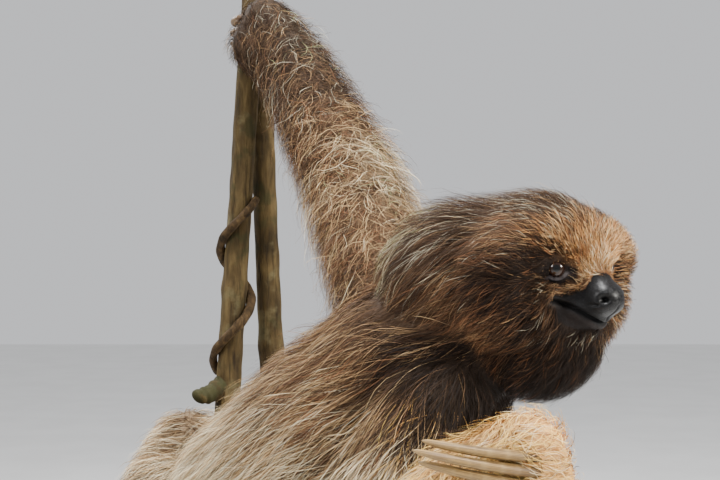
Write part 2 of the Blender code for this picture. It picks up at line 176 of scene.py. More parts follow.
def cone_field(points, a, b):
    """Distance outside the round cone between two joints, the way out, and the coat there."""
    span = b[:3] - a[:3]
    share = np.clip((points - a[:3]) @ span / (span @ span), 0, 1)[:, None]
    offset = points - a[:3] - share * span
    away = np.linalg.norm(offset, axis=1, keepdims=True) + 1e-9
    row = a[3:] + share * (b[3:] - a[3:])
    return away[:, 0] - row[:, 0], offset / away, row[:, 1:]


def oval_field(own, oval):
    """The distance and the way out for one oval of the head, in the head's axes."""
    offset, radii = own - oval[:3], oval[3:6]
    k0 = lengths(offset / radii) + 1e-9
    slope = offset / radii**2
    k1 = lengths(slope) + 1e-9
    return k0 * (k0 - 1) / k1, slope / k1[:, None]


def blended_ovals(own, ovals, blend):
    """Distance outside the nearest oval, the way out, each oval's share and the weight of them all."""
    distances, ways = zip(*(oval_field(own, oval) for oval in ovals))
    distances = np.array(distances)
    shares = np.exp(-(distances - distances.min(0)) / blend)
    total = shares.sum(0)
    shares /= total
    way = unit(np.einsum("kn,kni->ni", shares, np.array(ways)))
    return distances.min(0), way, shares, total


def head_lie(own):
    """Hair radiates from the bridge of the nose, over the crown and the cheeks, and hangs behind."""
    away = unit(own - np.array((0.047, 0.0, 0.000)))
    behind = np.clip(0.5 - own[:, 0] / 0.06, 0, 1)
    hang = 0.15 + 0.75 * behind
    return away - np.outer(hang, (0, 0, 1))


def nose_distance(own):
    return lengths(own - np.array((0.046, 0.0, -0.004)))


def eye_distance(own):
    """Distance from the nearer eye."""
    mirrored = own * (1, 0, 1) + np.abs(own) * (0, 1, 0)
    return lengths(mirrored - np.array(EYE_PLACE))


def head_field(points):
    own = in_head(points)
    distance, way, shares, _ = blended_ovals(own, HEAD_OVALS, BLEND)
    coat = np.empty((len(points), 6))
    coat[:, :3] = shares.T @ HEAD_OVALS[:, 6:]
    coat[:, 1] *= 0.36 + 0.64 * ramp(nose_distance(own), 0.022, 0.054)
    coat[:, 1] *= 1 - 0.5 * bump(eye_distance(own), 0.016)
    coat[:, 3:] = head_lie(own) @ HEAD_AXES
    return distance, way @ HEAD_AXES, coat


def part_field(points, name):
    if name == "head":
        return head_field(points)
    distance, way, coat = cone_field(points, *PARTS[name][0])
    for a, b in PARTS[name][1:]:
        other, other_way, other_coat = cone_field(points, a, b)
        closer = other < distance
        distance = np.where(closer, other, distance)
        way = np.where(closer[:, None], other_way, way)
        coat = np.where(closer[:, None], other_coat, coat)
    if name == "trunk":  # the hair hangs more steeply on the right of the belly
        coat[:, 3] *= 1 - 0.75 * ramp(way[:, 0], 0.0, 0.8)
    return distance, way, coat


def body_field(points, names=tuple(PARTS)):
    """Distance outside the coat of these parts, the way out, the coat there, and each part's share.

    A coat is a row of depth, length, curl and the three numbers of its lie.
    """
    fields = [part_field(points, name) for name in names]
    distances = np.array([field[0] for field in fields])
    shares = np.exp(-(distances - distances.min(0)) / BLEND)
    total = shares.sum(0)
    distance = distances.min(0) - BLEND * np.log(total)
    shares /= total
    way = unit(sum(share[:, None] * field[1] for share, field in zip(shares, fields)))
    coat = sum(share[:, None] * field[2] for share, field in zip(shares, fields))
    return distance, way, coat, shares


# ---------------------------------------------------------------- colours of the coat
TONES = {
    "black_brown": (0.010, 0.006, 0.004),
    "umber": (0.042, 0.023, 0.013),
    "cocoa": (0.078, 0.044, 0.024),
    "brown": (0.125, 0.070, 0.037),
    "russet": (0.200, 0.088, 0.040),
    "fox": (0.340, 0.150, 0.058),
    "gold": (0.640, 0.330, 0.110),
    "straw": (0.880, 0.600, 0.190),
    "tan": (0.420, 0.265, 0.130),
    "sand": (0.640, 0.455, 0.240),
    "cream": (0.860, 0.740, 0.500),
    "moss": (0.460, 0.470, 0.230),
    "ash": (0.540, 0.500, 0.380),
}
# For each kind of fur: the tone at its roots, and the tones of its tips with their shares in percent.
FURS = {
    "flank": ("umber", dict(umber=9, brown=11, tan=14, sand=24, cream=32, ash=10)),
    "shoulder": ("umber", dict(umber=32, brown=34, russet=10, tan=18, sand=6)),
    "arm": ("umber", dict(umber=24, russet=22, brown=26, tan=16, sand=12)),
    "elbow": ("umber", dict(tan=20, sand=24, cream=26, moss=6, brown=18, umber=6)),
    # The wrist and grizzled furs of the raised hand are partly their own dark fur and partly painted
    # shade.
    "wrist": ("black_brown", dict(umber=54, brown=30, russet=3, tan=8, ash=5)),
    "grizzled": ("black_brown", dict(umber=58, brown=20, ash=12, tan=4, moss=6)),
    "crown": ("black_brown", dict(umber=76, brown=16, tan=3, ash=5)),
    # the pale cream strands of the nape are partly real pale hair and partly painted highlight
    "nape": ("black_brown", dict(moss=16, cream=20, tan=5, umber=59)),
    "ruff": ("black_brown", dict(umber=82, russet=8, brown=9, tan=1)),
    "brow": ("russet", dict(gold=22, fox=34, sand=24, brown=20)),
    "tawny": ("umber", dict(russet=24, brown=32, tan=14, umber=30)),
    "bridge": ("russet", dict(cream=28, sand=36, gold=36)),
    "mask": ("black_brown", dict(black_brown=78, umber=19, russet=3)),
    "snout": ("black_brown", dict(black_brown=40, umber=40, brown=16, ash=4)),
    "cheek": ("cocoa", dict(umber=4, russet=38, brown=52, tan=6)),
    # The jaw and throat furs are partly their own dark brown and partly painted shade under the head.
    "jaw": ("black_brown", dict(umber=18, black_brown=78, russet=4)),
    "throat": ("black_brown", dict(black_brown=94, umber=6)),
    "chin": ("black_brown", dict(umber=35, black_brown=53, ash=12)),
    "paw": ("gold", dict(straw=66, fox=9, cream=25)),
    # darker fur behind the claws of the right hand: partly brown fur, partly painted shade between the
    # claws
    "palm_shade": ("umber", dict(brown=50, gold=22, straw=28)),
    "pale": ("brown", dict(cream=54, ash=26, sand=14, brown=6)),
    "shin": ("cocoa", dict(tan=30, sand=24, cream=13, brown=33)),
}
# Where each fur lies: x, y, z and how far it reaches in millimetres, and how strongly it holds
# against its neighbours.
PATCHES = {
    "flank": [
        (-55, -20, 300, 130, 1), (-20, -60, 380, 76, 1), (-5, -140, 420, 40, 1.6), (20, 20, 285, 60, 1),
    ],
    "shoulder": [(34, -122, 484, 44, 5)],
    "pale": [
        (24, -205, 428, 24, 2.4), (12, -190, 360, 36, 4), (30, -205, 385, 26, 3),
        (-135, -10, 360, 34, 2.4), (-120, -20, 290, 40, 1.2),
    ],
    "arm": [(30, -50, 530, 38, 5), (10, -20, 575, 20, 8), (0, 35, 615, 34, 4)],
    "elbow": [(48, -4, 578, 24, 14), (-16, -10, 572, 14, 8), (24, 10, 604, 14, 6)],
    # dark fur of the raised hand: partly own colour, partly painted shade
    "wrist": [(-20, 60, 650, 34, 6), (-40, 78, 690, 40, 9)],
    "grizzled": [(-12, 80, 690, 22, 9)],
    "paw": [(80, -250, 438, 36, 8), (101, -262, 447, 30, 8), (-10, 120, 236, 30, 3)],
    # painted shade, partly brown fur, behind the claws of the right hand
    "palm_shade": [(83, -256, 436, 17, 60)],
    "shin": [(-100, 20, 385, 45, 1.8), (-100, 80, 412, 30, 3)],
    # dark fur on the chest under the chin: partly own colour, partly painted shade cast by the head
    "throat": [(58, -160, 484, 12, 10), (92, -180, 462, 24, 16), (118, -150, 470, 28, 12)],
}
# The same on the head, along forward, right and up.
HEAD_PATCHES = {
    "crown": [
        (8, 0, 52, 36, 16), *both(-12, 36, 34, 30, 8), *both(26, 12, 44, 16, 14),
        *both(30, 24, 32, 10, 14),
    ],
    "nape": [(-54, 4, 24, 28, 8), *both(-58, 32, 10, 18, 6)],
    "ruff": [*both(-36, 50, -12, 36, 6)],
    "brow": [
        (46, 0, 16, 16, 12), *both(38, 20, 20, 9, 10), (32, -40, 12, 20, 9), (41, 12, 10, 5, 60),
        (41, -14, 10, 7, 90), (40, -30, -4, 18, 9),
    ],
    "tawny": [(30, 36, 24, 14, 9), *both(39, 16, -1, 8, 60)],
    "bridge": [(47, 0, 8, 7, 24)],
    "mask": [
        (26, 36, 3, 10, 30), (24, -38, 0, 9, 24), (21, 46, 1, 9, 24), (20, -45, -3, 8, 20),
        (36, 23, 8, 8, 60), (35, -25, 8, 6, 50), (38, 30, 9, 6.5, 70), (28, -40, 4, 8, 40),
        (34, 36, 4, 7, 50), *both(27, 28, -8, 8, 40),
    ],
    "cheek": [*both(16, 43, -18, 13, 9), *both(10, 50, -14, 28, 5.5)],
    "snout": [*both(34, 19, -6.5, 7, 60), *both(40, 12, -1, 4, 60), *both(30, 17, -18, 8, 40)],
    # dark fur of the jaw and throat: partly own colour, partly painted shade under the head
    "jaw": [*both(22, 22, -34, 27, 15)],
    "throat": [(10, 0, -66, 34, 16), (-30, 30, -62, 30, 10)],
    "chin": [(41.5, 0, -23.5, 4, 24)],
}


def fur_shares(points, of_head):
    """How much of each kind of fur grows at each point of the head, or of the rest of the body.

    One row a point, one column a kind.
    """
    shares = np.zeros((len(points), len(FURS)))
    patches, ground = (HEAD_PATCHES, "jaw") if of_head else (PATCHES, "flank")
    for column, kind in enumerate(FURS):
        for *spot, reach, hold in patches.get(kind, ()):
            place = np.array(spot) / 1000
            place = on_head(place) if of_head else place
            away = ((points - place) ** 2).sum(1)
            shares[:, column] += hold * np.exp(-away / (reach / 1000) ** 2)
    shares[:, list(FURS).index(ground)] += 1e-4
    return shares / shares.sum(1, keepdims=True)


def pick(shares, luck):
    """One column for each row, drawn by its shares with that row's luck from 0 to 1."""
    return (np.cumsum(shares, axis=1) < luck[:, None] * 0.999999).sum(1)


def root_tones():
    """The tone at the roots of each kind of fur."""
    return np.array([TONES[root] for root, _ in FURS.values()])


def hair_colours(points, leaders, of_head, rng):
    """Root and tip colour of a hair at each point. Half the hairs of a lock take after its leader."""
    count = len(points)
    tones = np.array(list(TONES.values()))
    mixes = np.array([[tips.get(tone, 0) for tone in TONES] for _, tips in FURS.values()]) / 100
    kind = pick(fur_shares(points, of_head), rng.random(count))
    luck = rng.random(count)
    luck = np.where(rng.random(count) < 0.5, luck[leaders], luck)
    tip = tones[pick(mixes[kind], luck)] * rng.uniform(0.65, 1.30, (count, 1))
    tip = tip * rng.uniform(0.85, 1.12, (count, 1))[leaders]
    return root_tones()[kind] * rng.uniform(0.8, 1.2, (count, 1)), tip


# ---------------------------------------------------------------- meshes
def new_object(name, data):
    made = bpy.data.objects.new(name, data)
    bpy.context.scene.collection.objects.link(made)
    return made


def new_piece(name, mesh, slot, finish, *nodes):
    """A finished piece of the animal, its perch or its stand, in place of the CAD nodes named."""
    piece = new_object(name, mesh)
    mesh.materials.clear()
    mesh.materials.append(finish)
    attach(piece, "root")
    if nodes:
        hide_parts(*nodes)
    return piece


def mesh_from(bm, name):
    mesh = bpy.data.meshes.new(name)
    bm.to_mesh(mesh)
    bm.free()
    mesh.shade_smooth()
    return mesh


def read_rows(items, key, width, kind=float):
    """One value of each of a mesh's items, as rows of this width."""
    flat = np.empty(len(items) * width, kind)
    items.foreach_get(key, flat)
    return flat.reshape(-1, width)


def corners(mesh):
    """The places of a mesh's vertices as one array."""
    return read_rows(mesh.vertices, "co", 3)


def outward(mesh):
    return read_rows(mesh.vertices, "normal", 3)


def place_corners(mesh, points):
    mesh.vertices.foreach_set("co", np.ascontiguousarray(points, np.float32).ravel())
    mesh.update()


def colour_layer(mesh, name, colours):
    rgba = np.ones((len(colours), 4), np.float32)
    rgba[:, :3] = colours
    mesh.attributes.new(name, "FLOAT_COLOR", "POINT").data.foreach_set("color", rgba.ravel())


def number_layer(mesh, name, values):
    values = np.ascontiguousarray(values, np.float32)
    mesh.attributes.new(name, "FLOAT", "POINT").data.foreach_set("value", values)


# ---------------------------------------------------------------- skin
FLESH = [
    "head", "neck", "chest", "belly", "tail", "snout",
    "left_upper_arm", "left_forearm", "left_hand", "right_upper_arm", "right_forearm", "right_hand",
    "left_thigh", "left_shin", "left_foot", "right_thigh", "right_shin", "right_foot",
]
SKIN_GRAIN = 0.0030
FLESH_GROWTH = 0.0009  # more than the gaps between the solids, so that they grow together
LEAST_DEPTH = 0.002
# Ovals of the bare face and jaw, along forward, right and up: centre and radii of the skin itself, in
# tenths of a millimetre.
FACE_OVALS = np.array([
    (-30, 0, 30, 420, 440, 360),  # skull
    (90, 0, 150, 360, 490, 260),  # brow
    *both(150, 365, 120, 190, 165, 200),  # corners of the brow
    *both(80, 260, -80, 235, 270, 260),  # cheeks
    (40, 0, -260, 360, 340, 300),  # throat
    (245, 0, -80, 115, 255, 95),  # root of the muzzle
    (225, 0, -205, 125, 205, 75),  # jaw
    (340, 0, 130, 142, 122, 95),  # middle of the brow
    (355, 0, 2, 180, 118, 98),  # bridge
    (500, 0, -70, 112, 95, 90),  # nose pad
    *both(515, 50, -82, 70, 46, 58),  # wings of the nostrils
    *both(360, 45, -112, 150, 90, 80),  # upper lip
    (430, 0, -155, 88, 58, 52),  # front of the upper lip
    (315, 0, -192, 170, 112, 66),  # lower lip and chin
]) / 10000
FACE_REACH = 0.08  # the face is worked within this distance of the middle of the head
FACE_BLEND = 0.0016
# Spots of the head with finer cells, pass by pass: forward, right, up and reach in millimetres.
FINE_SPOTS = [(34, 0, -4, 40)], [(40, 0, -2, 34)], [*both(37, 18, 8, 11), (52, 0, -10, 19)]
EYE_RADIUS = 0.0054
EYE_PLACE = (0.0348, 0.0188, 0.0081)
EYE_LOOK = (0.74, 0.67, 0.02)  # for the right eye; the left one is its mirror image
LID_SLANT = radians(14)  # how far the slit of the eye drops towards the nose
LID_HALF = (0.0061, 0.0055)  # half length and half height of the opening, round the ball
IRIS_EDGE = radians(52)  # from the middle of the iris, round the ball
NOSTRIL = (0.0576, 0.0078, -0.0074)
# Hollows on both sides of the face: depth, place and reach along forward, right and up.
HOLLOWS = [
    (0.0046, NOSTRIL, (0.0030, 0.0021, 0.0019)),
    (0.0012, (0.0530, 0.0098, -0.0104), (0.0028, 0.0024, 0.0009)),  # slit below the nostril
    (0.0032, (0.0370, 0.0285, 0.0100), (0.012, 0.0095, 0.0095)),  # temple
]


def face_field(own):
    """Distance outside the bare face in the head's axes, and the way out."""
    distance, way, _, total = blended_ovals(own, FACE_OVALS, FACE_BLEND)
    return distance - FACE_BLEND * np.log(total), way


def mouth_height(forward, beside):
    """Height of the line between the lips, which climbs back to its corner below the eye."""
    share = np.clip((forward - 0.40 * beside - 0.0227) / 0.0276, -0.2, 1.2)
    return -0.0075 - 0.0082 * share - 0.0045 * share**3


def eye_frame(side):
    """Centre, way out, way along the slit towards the nose, and way up, of one eye."""
    look = unit((EYE_LOOK[0], side * EYE_LOOK[1], EYE_LOOK[2]))
    level = unit(np.cross((0, 0, 1), look)) * -side
    up = np.cross(look, level)
    up = up if up[2] > 0 else -up
    along = level * cos(LID_SLANT) - up * sin(LID_SLANT)
    rise = up * cos(LID_SLANT) + level * sin(LID_SLANT)
    return np.array((EYE_PLACE[0], side * EYE_PLACE[1], EYE_PLACE[2])), look, along, rise


def eye_slit(own, side):
    """Way and distance of points from the middle of an eye, how far round the ball they are, and where.

    The last number is 1 on the edge of the lids, and grows evenly outside them.
    """
    centre, look, along, rise = eye_frame(side)
    offset = own - centre
    away = lengths(offset) + 1e-9
    ray = offset / away[:, None]
    angle = np.arccos(np.clip(ray @ look, -1, 1))
    beside = np.stack((ray @ along, ray @ rise), axis=1)
    arc = unit(beside) * (angle * EYE_RADIUS)[:, None]
    return ray, away, angle, arc[:, 1], lengths(arc / np.array(LID_HALF))


def sculpt_face(own):
    """Moves points of the face on to its muzzle, lips, nostrils and lids."""
    for _ in range(5):
        distance, way = face_field(own)
        own = own - way * distance[:, None]
    _, way = face_field(own)
    forward, right, up = own.T
    beside = np.abs(right)

    from_lips = up - mouth_height(forward, beside)
    on_muzzle = ramp(forward, 0.027, 0.032)
    sink = 0.0024 * bump(from_lips, 0.0011) * on_muzzle
    swell = 0.0009 * bump(from_lips + 0.0040, 0.0024) * on_muzzle
    swell += 0.0005 * bump(from_lips - 0.0028, 0.0018) * on_muzzle
    for side in (-1, 1):
        for depth, place, reach in HOLLOWS:
            offset = own - np.array(place) * (1, side, 1)
            sink += depth * np.exp(-((offset / reach) ** 2).sum(1))
    # groove under the nose pad
    groove = bump(right, 0.0007) * ramp(forward, 0.050, 0.054) * ramp(-up, 0.009, 0.012)
    sink += 0.0007 * groove
    # folds between the eye and the corner of the mouth
    for number, (start, drop) in enumerate(((0.0010, 0.28), (-0.0012, 0.36), (-0.0034, 0.46))):
        line = up - (start - drop * (forward - 0.030))
        reach = bump(forward - 0.037 + 0.002 * number, 0.009) * ramp(beside, 0.008, 0.013)
        sink += 0.00055 * bump(line, 0.0006) * reach
    own = own + way * (swell - sink)[:, None]

    for side in (-1, 1):
        centre = eye_frame(side)[0]
        ray, away, angle, _, slit = eye_slit(own, side)
        near = (1 - ramp(angle, 1.25, 1.60)) * (away < 0.013)
        inside = 1 - ramp(slit, 0.95, 1.05)
        rim = EYE_RADIUS + 0.0008 + 0.0005 * bump(slit - 1.20, 0.14)
        fold = 0.0006 * bump(slit - 1.46, 0.08)
        lid = rim - fold + (away - rim) * ramp(slit, 1.20, 1.60)
        lid = lid * (1 - inside) + (EYE_RADIUS - 0.0012) * inside
        own = centre + ray * (away + (lid - away) * near)[:, None]
    return own


def bare_share(own):
    """How bare the skin is: 1 on the nose, lips and lids, 0 under the coat."""
    forward, right, up = own.T
    beside = np.abs(right)
    flare = 0.0075 * ramp(beside, 0.0040, 0.0105) * (1 - ramp(forward, 0.0470, 0.0515))
    brink = -0.0045 + ramp(forward, 0.0360, 0.0460) * (0.0100 - flare)
    brim = -0.0140 - 0.0085 * ramp(forward, 0.0290, 0.0410)
    bare = ramp(forward, 0.0285, 0.0315) * ramp(brink - up, -0.0020, 0.0032)
    side_edge = 0.0170 + 0.0060 * ramp(up - mouth_height(forward, beside), -0.0030, 0.0005)
    bare = bare * (1 - ramp(beside - side_edge, -0.0020, 0.0030)) * ramp(up - brim, -0.0018, 0.0018)
    for side in (-1, 1):
        centre, look, along, rise = eye_frame(side)
        offset = own - centre
        a, r = offset @ along, offset @ rise
        oval = np.sqrt(((a - 0.0020) / 0.0102) ** 2 + ((r + 0.0005) / 0.0076) ** 2)
        near = 1 - ramp(lengths(offset) - 0.004 * ramp(a, -0.002, 0.003), 0.0092, 0.0112)
        bare = np.maximum(bare, (1 - ramp(oval, 0.85, 1.10)) * near * (offset @ look > 0))
    return bare


def face_bareness(own):
    """bare_share over the face, and 0 elsewhere; and which points are of the face."""
    face = (own[:, 0] > 0.012) & (lengths(own) < FACE_REACH)
    return np.where(face, bare_share(own), 0), face


def make_skin(finish):
    """One closed skin for the whole animal, at the depth of the coat inside the solids of flesh."""
    bm = bmesh.new()
    for name in FLESH:
        lump = bmesh.new()
        lump.from_mesh(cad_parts[name].data)
        bmesh.ops.remove_doubles(lump, verts=list(lump.verts), dist=1e-6)
        lump.normal_update()
        for vert in lump.verts:
            vert.co += vert.normal * FLESH_GROWTH
        grown = bpy.data.meshes.new("lump")
        lump.to_mesh(grown)
        lump.free()
        bm.from_mesh(grown)
        bpy.data.meshes.remove(grown)
    body = new_object("body_form", mesh_from(bm, "body_form"))
    remesh(body, 3)

    points = corners(body.data)
    steps = 4
    for _ in range(steps):
        own = in_head(points)
        depth = np.clip(body_field(points)[2][:, 0], LEAST_DEPTH, None)
        bared = depth * (1 - ramp(own[:, 0], 0.030, 0.046))
        depth = np.where(lengths(own) < 0.09, bared, depth)
        place_corners(body.data, points - outward(body.data) * depth[:, None] / steps)
        points = smoothed(body.data)
        place_corners(body.data, points)
    remesh(body, 2)

    bm = bmesh.new()
    bm.from_mesh(body.data)
    bpy.data.objects.remove(body)
    drop_crumbs(bm)
    for spots in FINE_SPOTS:
        refine(bm, spots)
    bmesh.ops.triangulate(bm, faces=[f for f in bm.faces if len(f.verts) > 4])
    skin = mesh_from(bm, "skin")

    own = in_head(corners(skin))
    on_face = ramp(own[:, 0], 0.014, 0.024) * (lengths(own) < FACE_REACH)
    chosen = on_face > 0
    for _ in range(3):
        moved = sculpt_face(own[chosen])
        own[chosen] += (moved - own[chosen]) * on_face[chosen, None]
    place_corners(skin, on_head(own))
    paint_skin(skin)
    piece = new_piece("skin", skin, "coat", finish, *FLESH)
    unwrap(piece)
    return piece


def remesh(obj, passes):
    """Makes obj one closed form of even cells, a little smoothed."""
    grow = obj.modifiers.new("grow_together", "REMESH")
    grow.mode = "VOXEL"
    grow.voxel_size = SKIN_GRAIN
    blend = obj.modifiers.new("blend", "SMOOTH")
    blend.factor = 0.5
    blend.iterations = passes
    bpy.context.view_layer.update()
    mesh = bpy.data.meshes.new_from_object(obj.evaluated_get(bpy.context.evaluated_depsgraph_get()))
    obj.modifiers.clear()
    obj.data = mesh


def smoothed(mesh):
    """The vertices drawn halfway to the middle of their neighbours."""
    points = corners(mesh)
    a, b = read_rows(mesh.edges, "vertices", 2, np.int64).T
    count = np.bincount(a, minlength=len(points)) + np.bincount(b, minlength=len(points))
    total = np.empty_like(points)
    for axis in range(3):
        total[:, axis] = np.bincount(a, points[b, axis], len(points))
        total[:, axis] += np.bincount(b, points[a, axis], len(points))
    return points * 0.5 + 0.5 * total / np.maximum(count, 1)[:, None]


def drop_crumbs(bm):
    """Keeps only the largest loose part."""
    left, best = set(bm.verts), set()
    while left:
        todo, part = [left.pop()], set()
        while todo:
            vert = todo.pop()
            part.add(vert)
            for edge in vert.link_edges:
                other = edge.other_vert(vert)
                if other in left:
                    left.remove(other)
                    todo.append(other)
        if len(part) > len(best):
            best = part
    bmesh.ops.delete(bm, geom=[v for v in bm.verts if v not in best], context="VERTS")


def refine(bm, spots):
    """Halves the cells within reach of these spots of the head."""
    spots = [(Vector(on_head(spot[:3])), spot[3]) for spot in np.array(spots) / 1000]
    edges = set()
    for face in bm.faces:
        middle = face.calc_center_median()
        if any((middle - centre).length < reach for centre, reach in spots):
            edges.update(face.edges)
    bmesh.ops.subdivide_edges(bm, edges=list(edges), cuts=1, use_grid_fill=True, smooth=0.0)
    near = [v for v in bm.verts if any((v.co - centre).length < reach for centre, reach in spots)]
    for _ in range(2):
        bmesh.ops.smooth_vert(
            bm, verts=near, factor=0.5, use_axis_x=True, use_axis_y=True, use_axis_z=True
        )


NOSE_TONE = np.array((0.0024, 0.0022, 0.0024))
MUZZLE_TONE = np.array((0.0080, 0.0062, 0.0054))
LIP_TONE = np.array((0.0110, 0.0080, 0.0072))
LID_TONE = np.array((0.0065, 0.0040, 0.0034))
LID_EDGE_TONE = np.array((0.060, 0.052, 0.054))


def laid_over(under, over, share):
    """One colour over another, by these shares."""
    return under * (1 - share) + over * share


def paint_skin(mesh):
    """Colours of the skin: the coat's own markings under the fur, and bare skin on the face."""
    points = corners(mesh)
    own = in_head(points)
    names = list(PARTS)
    body_shares = body_field(points)[3]
    head_share = (body_shares[names.index("head")] + body_shares[names.index("nape")])[:, None]
    shares = fur_shares(points, True) * head_share + fur_shares(points, False) * (1 - head_share)
    tips = shares @ np.array([
        sum(np.array(TONES[tone]) * (share / 100) for tone, share in mix.items())
        for _, mix in FURS.values()
    ])
    colour = 0.7 * (shares @ root_tones()) + 0.3 * tips
    bare, _ = face_bareness(own)
    forward, right, up = own.T
    beside = np.abs(right)
    lip_line = mouth_height(forward, beside)
    naked = laid_over(MUZZLE_TONE, NOSE_TONE, ramp(forward + 0.4 * beside, 0.040, 0.050)[:, None])
    naked = laid_over(naked, LIP_TONE, ramp(lip_line - up, 0.0010, 0.0034)[:, None])
    # painted shade darkens the bare skin along the crease between the lips
    lip_line_shade = (bump(up - lip_line, 0.0012) * ramp(forward, 0.024, 0.028))[:, None]
    naked = naked * (1 - 0.85 * lip_line_shade)
    for side in (-1, 1):
        # painted shade darkens the skin in and round each nostril
        pit = own - np.array(NOSTRIL) * (1, side, 1)
        naked = naked * (1 - 0.9 * np.exp(-((pit / 0.0030) ** 2).sum(1)))[:, None]
        _, away, _, rise_by, slit = eye_slit(own, side)
        close = (away < 0.0135)[:, None] * 1.0
        naked = laid_over(naked, LID_TONE, close)
        rim = (bump(slit - 1.13, 0.12) * ramp(-rise_by, -0.0006, 0.0018))[:, None] * close
        naked = laid_over(naked, LID_EDGE_TONE, rim)
    # the dark of the bare skin runs on under the first hairs
    colour_layer(mesh, "skin_colour", laid_over(colour, naked, ramp(bare, 0.0, 0.35)[:, None]))
    number_layer(mesh, "bare", bare)
    number_layer(mesh, "wet", ramp(forward, 0.049, 0.056) * bare)


def unwrap(piece):
    """An unwrap of the piece's own shape, kept as OFBake."""
    layer = piece.data.uv_layers.new(name="OFBake")
    piece.data.uv_layers.active = layer
    bpy.context.view_layer.objects.active = piece
    piece.select_set(True)
    bpy.ops.object.mode_set(mode="EDIT")
    bpy.ops.mesh.select_all(action="SELECT")
    bpy.ops.uv.smart_project(angle_limit=radians(70), island_margin=0.001)
    bpy.ops.object.mode_set(mode="OBJECT")
    piece.select_set(False)


# ---------------------------------------------------------------- coat
# One row a coat piece: the parts of the body it covers, how many pieces it is split in, hairs in
# each, steps along a hair, and the width of a hair in metres.
COATS = {
    "coat_trunk": (("trunk", "tail"), 3, 26500, 4, 0.00023),
    "coat_left_arm": (("left_arm",), 1, 21500, 5, 0.00019),
    "coat_right_arm": (("right_arm",), 1, 17000, 5, 0.00023),
    "coat_left_leg": (("left_leg",), 1, 15000, 4, 0.00028),
    "coat_right_leg": (("right_leg",), 1, 13000, 4, 0.00028),
    "coat_head": (("head", "nape"), 2, 28000, 4, 0.00017),
}
LOCK_SIZE = 8  # hairs in a lock
UNDER_SHARE = 0.12  # share of the hairs that stay under the others, wide and dark
STRAYS = {"head": 0.015, "trunk": 0.03, "left_arm": 0.07, "right_arm": 0.10}  # share that stands out
# Parts that the hairs of each may lie over. Those of a limb run on over the trunk.
NEIGHBOURS = {limb: (limb, "trunk") for limb in PAW_ACROSS}
NEIGHBOURS |= {"trunk": ("trunk", "tail"), "head": ("head", "nape")}
FIRST_SEED = 100


def skin_triangles(skin):
    """Corners, places in the unwrap and areas of the skin's triangles, and which part each is of."""
    mesh = skin.data
    mesh.calc_loop_triangles()
    verts = read_rows(mesh.loop_triangles, "vertices", 3, np.int32)
    loops = read_rows(mesh.loop_triangles, "loops", 3, np.int32)
    points, normals = corners(mesh)[verts], outward(mesh)[verts]
    places = read_rows(mesh.uv_layers["OFBake"].data, "uv", 2)[loops]
    across = np.cross(points[:, 1] - points[:, 0], points[:, 2] - points[:, 0])
    middle = points.mean(1)
    shares = body_field(middle)[3]
    own = in_head(middle)
    bare, face = face_bareness(own)
    area = lengths(across) / 2 * (1 - ramp(bare, 0.10, 0.85))
    # the hairs of the face stand closer, most of all round the eyes
    area = area * np.where(face, 1.9, 1.0)
    area = area * np.where(face, 1 + 2.2 * bump(eye_distance(own), 0.014), 1.0)
    return points, normals, places, area, shares.argmax(0)


def scatter(triangles, parts, count, rng):
    """Roots spread evenly over the skin of these parts."""
    points, normals, places, area, owner = triangles
    names = list(PARTS)
    mine = np.isin(owner, [names.index(part) for part in parts])
    weight = np.cumsum(area * mine)
    spots = (np.arange(count) + rng.random(count)) / count * weight[-1]
    chosen = np.minimum(np.searchsorted(weight, spots), len(area) - 1)
    u, v = rng.random(count), rng.random(count)
    fold = u + v > 1
    u, v = np.where(fold, 1 - u, u), np.where(fold, 1 - v, v)
    corner = np.stack((1 - u - v, u, v), axis=1)[:, :, None]
    return (
        (points[chosen] * corner).sum(1),
        unit((normals[chosen] * corner).sum(1)),
        (places[chosen] * corner).sum(1),
    )


def clump_leaders(points, size, rng):
    """For each hair, the number of the hair that leads its lock."""
    spread = max(1, int(len(points) / size))
    leaders = rng.permutation(len(points))[:spread]
    tree = KDTree(len(leaders))
    for number, leader in enumerate(leaders):
        tree.insert(points[leader], number)
    tree.balance()
    return np.array([leaders[tree.find(point)[1]] for point in points])


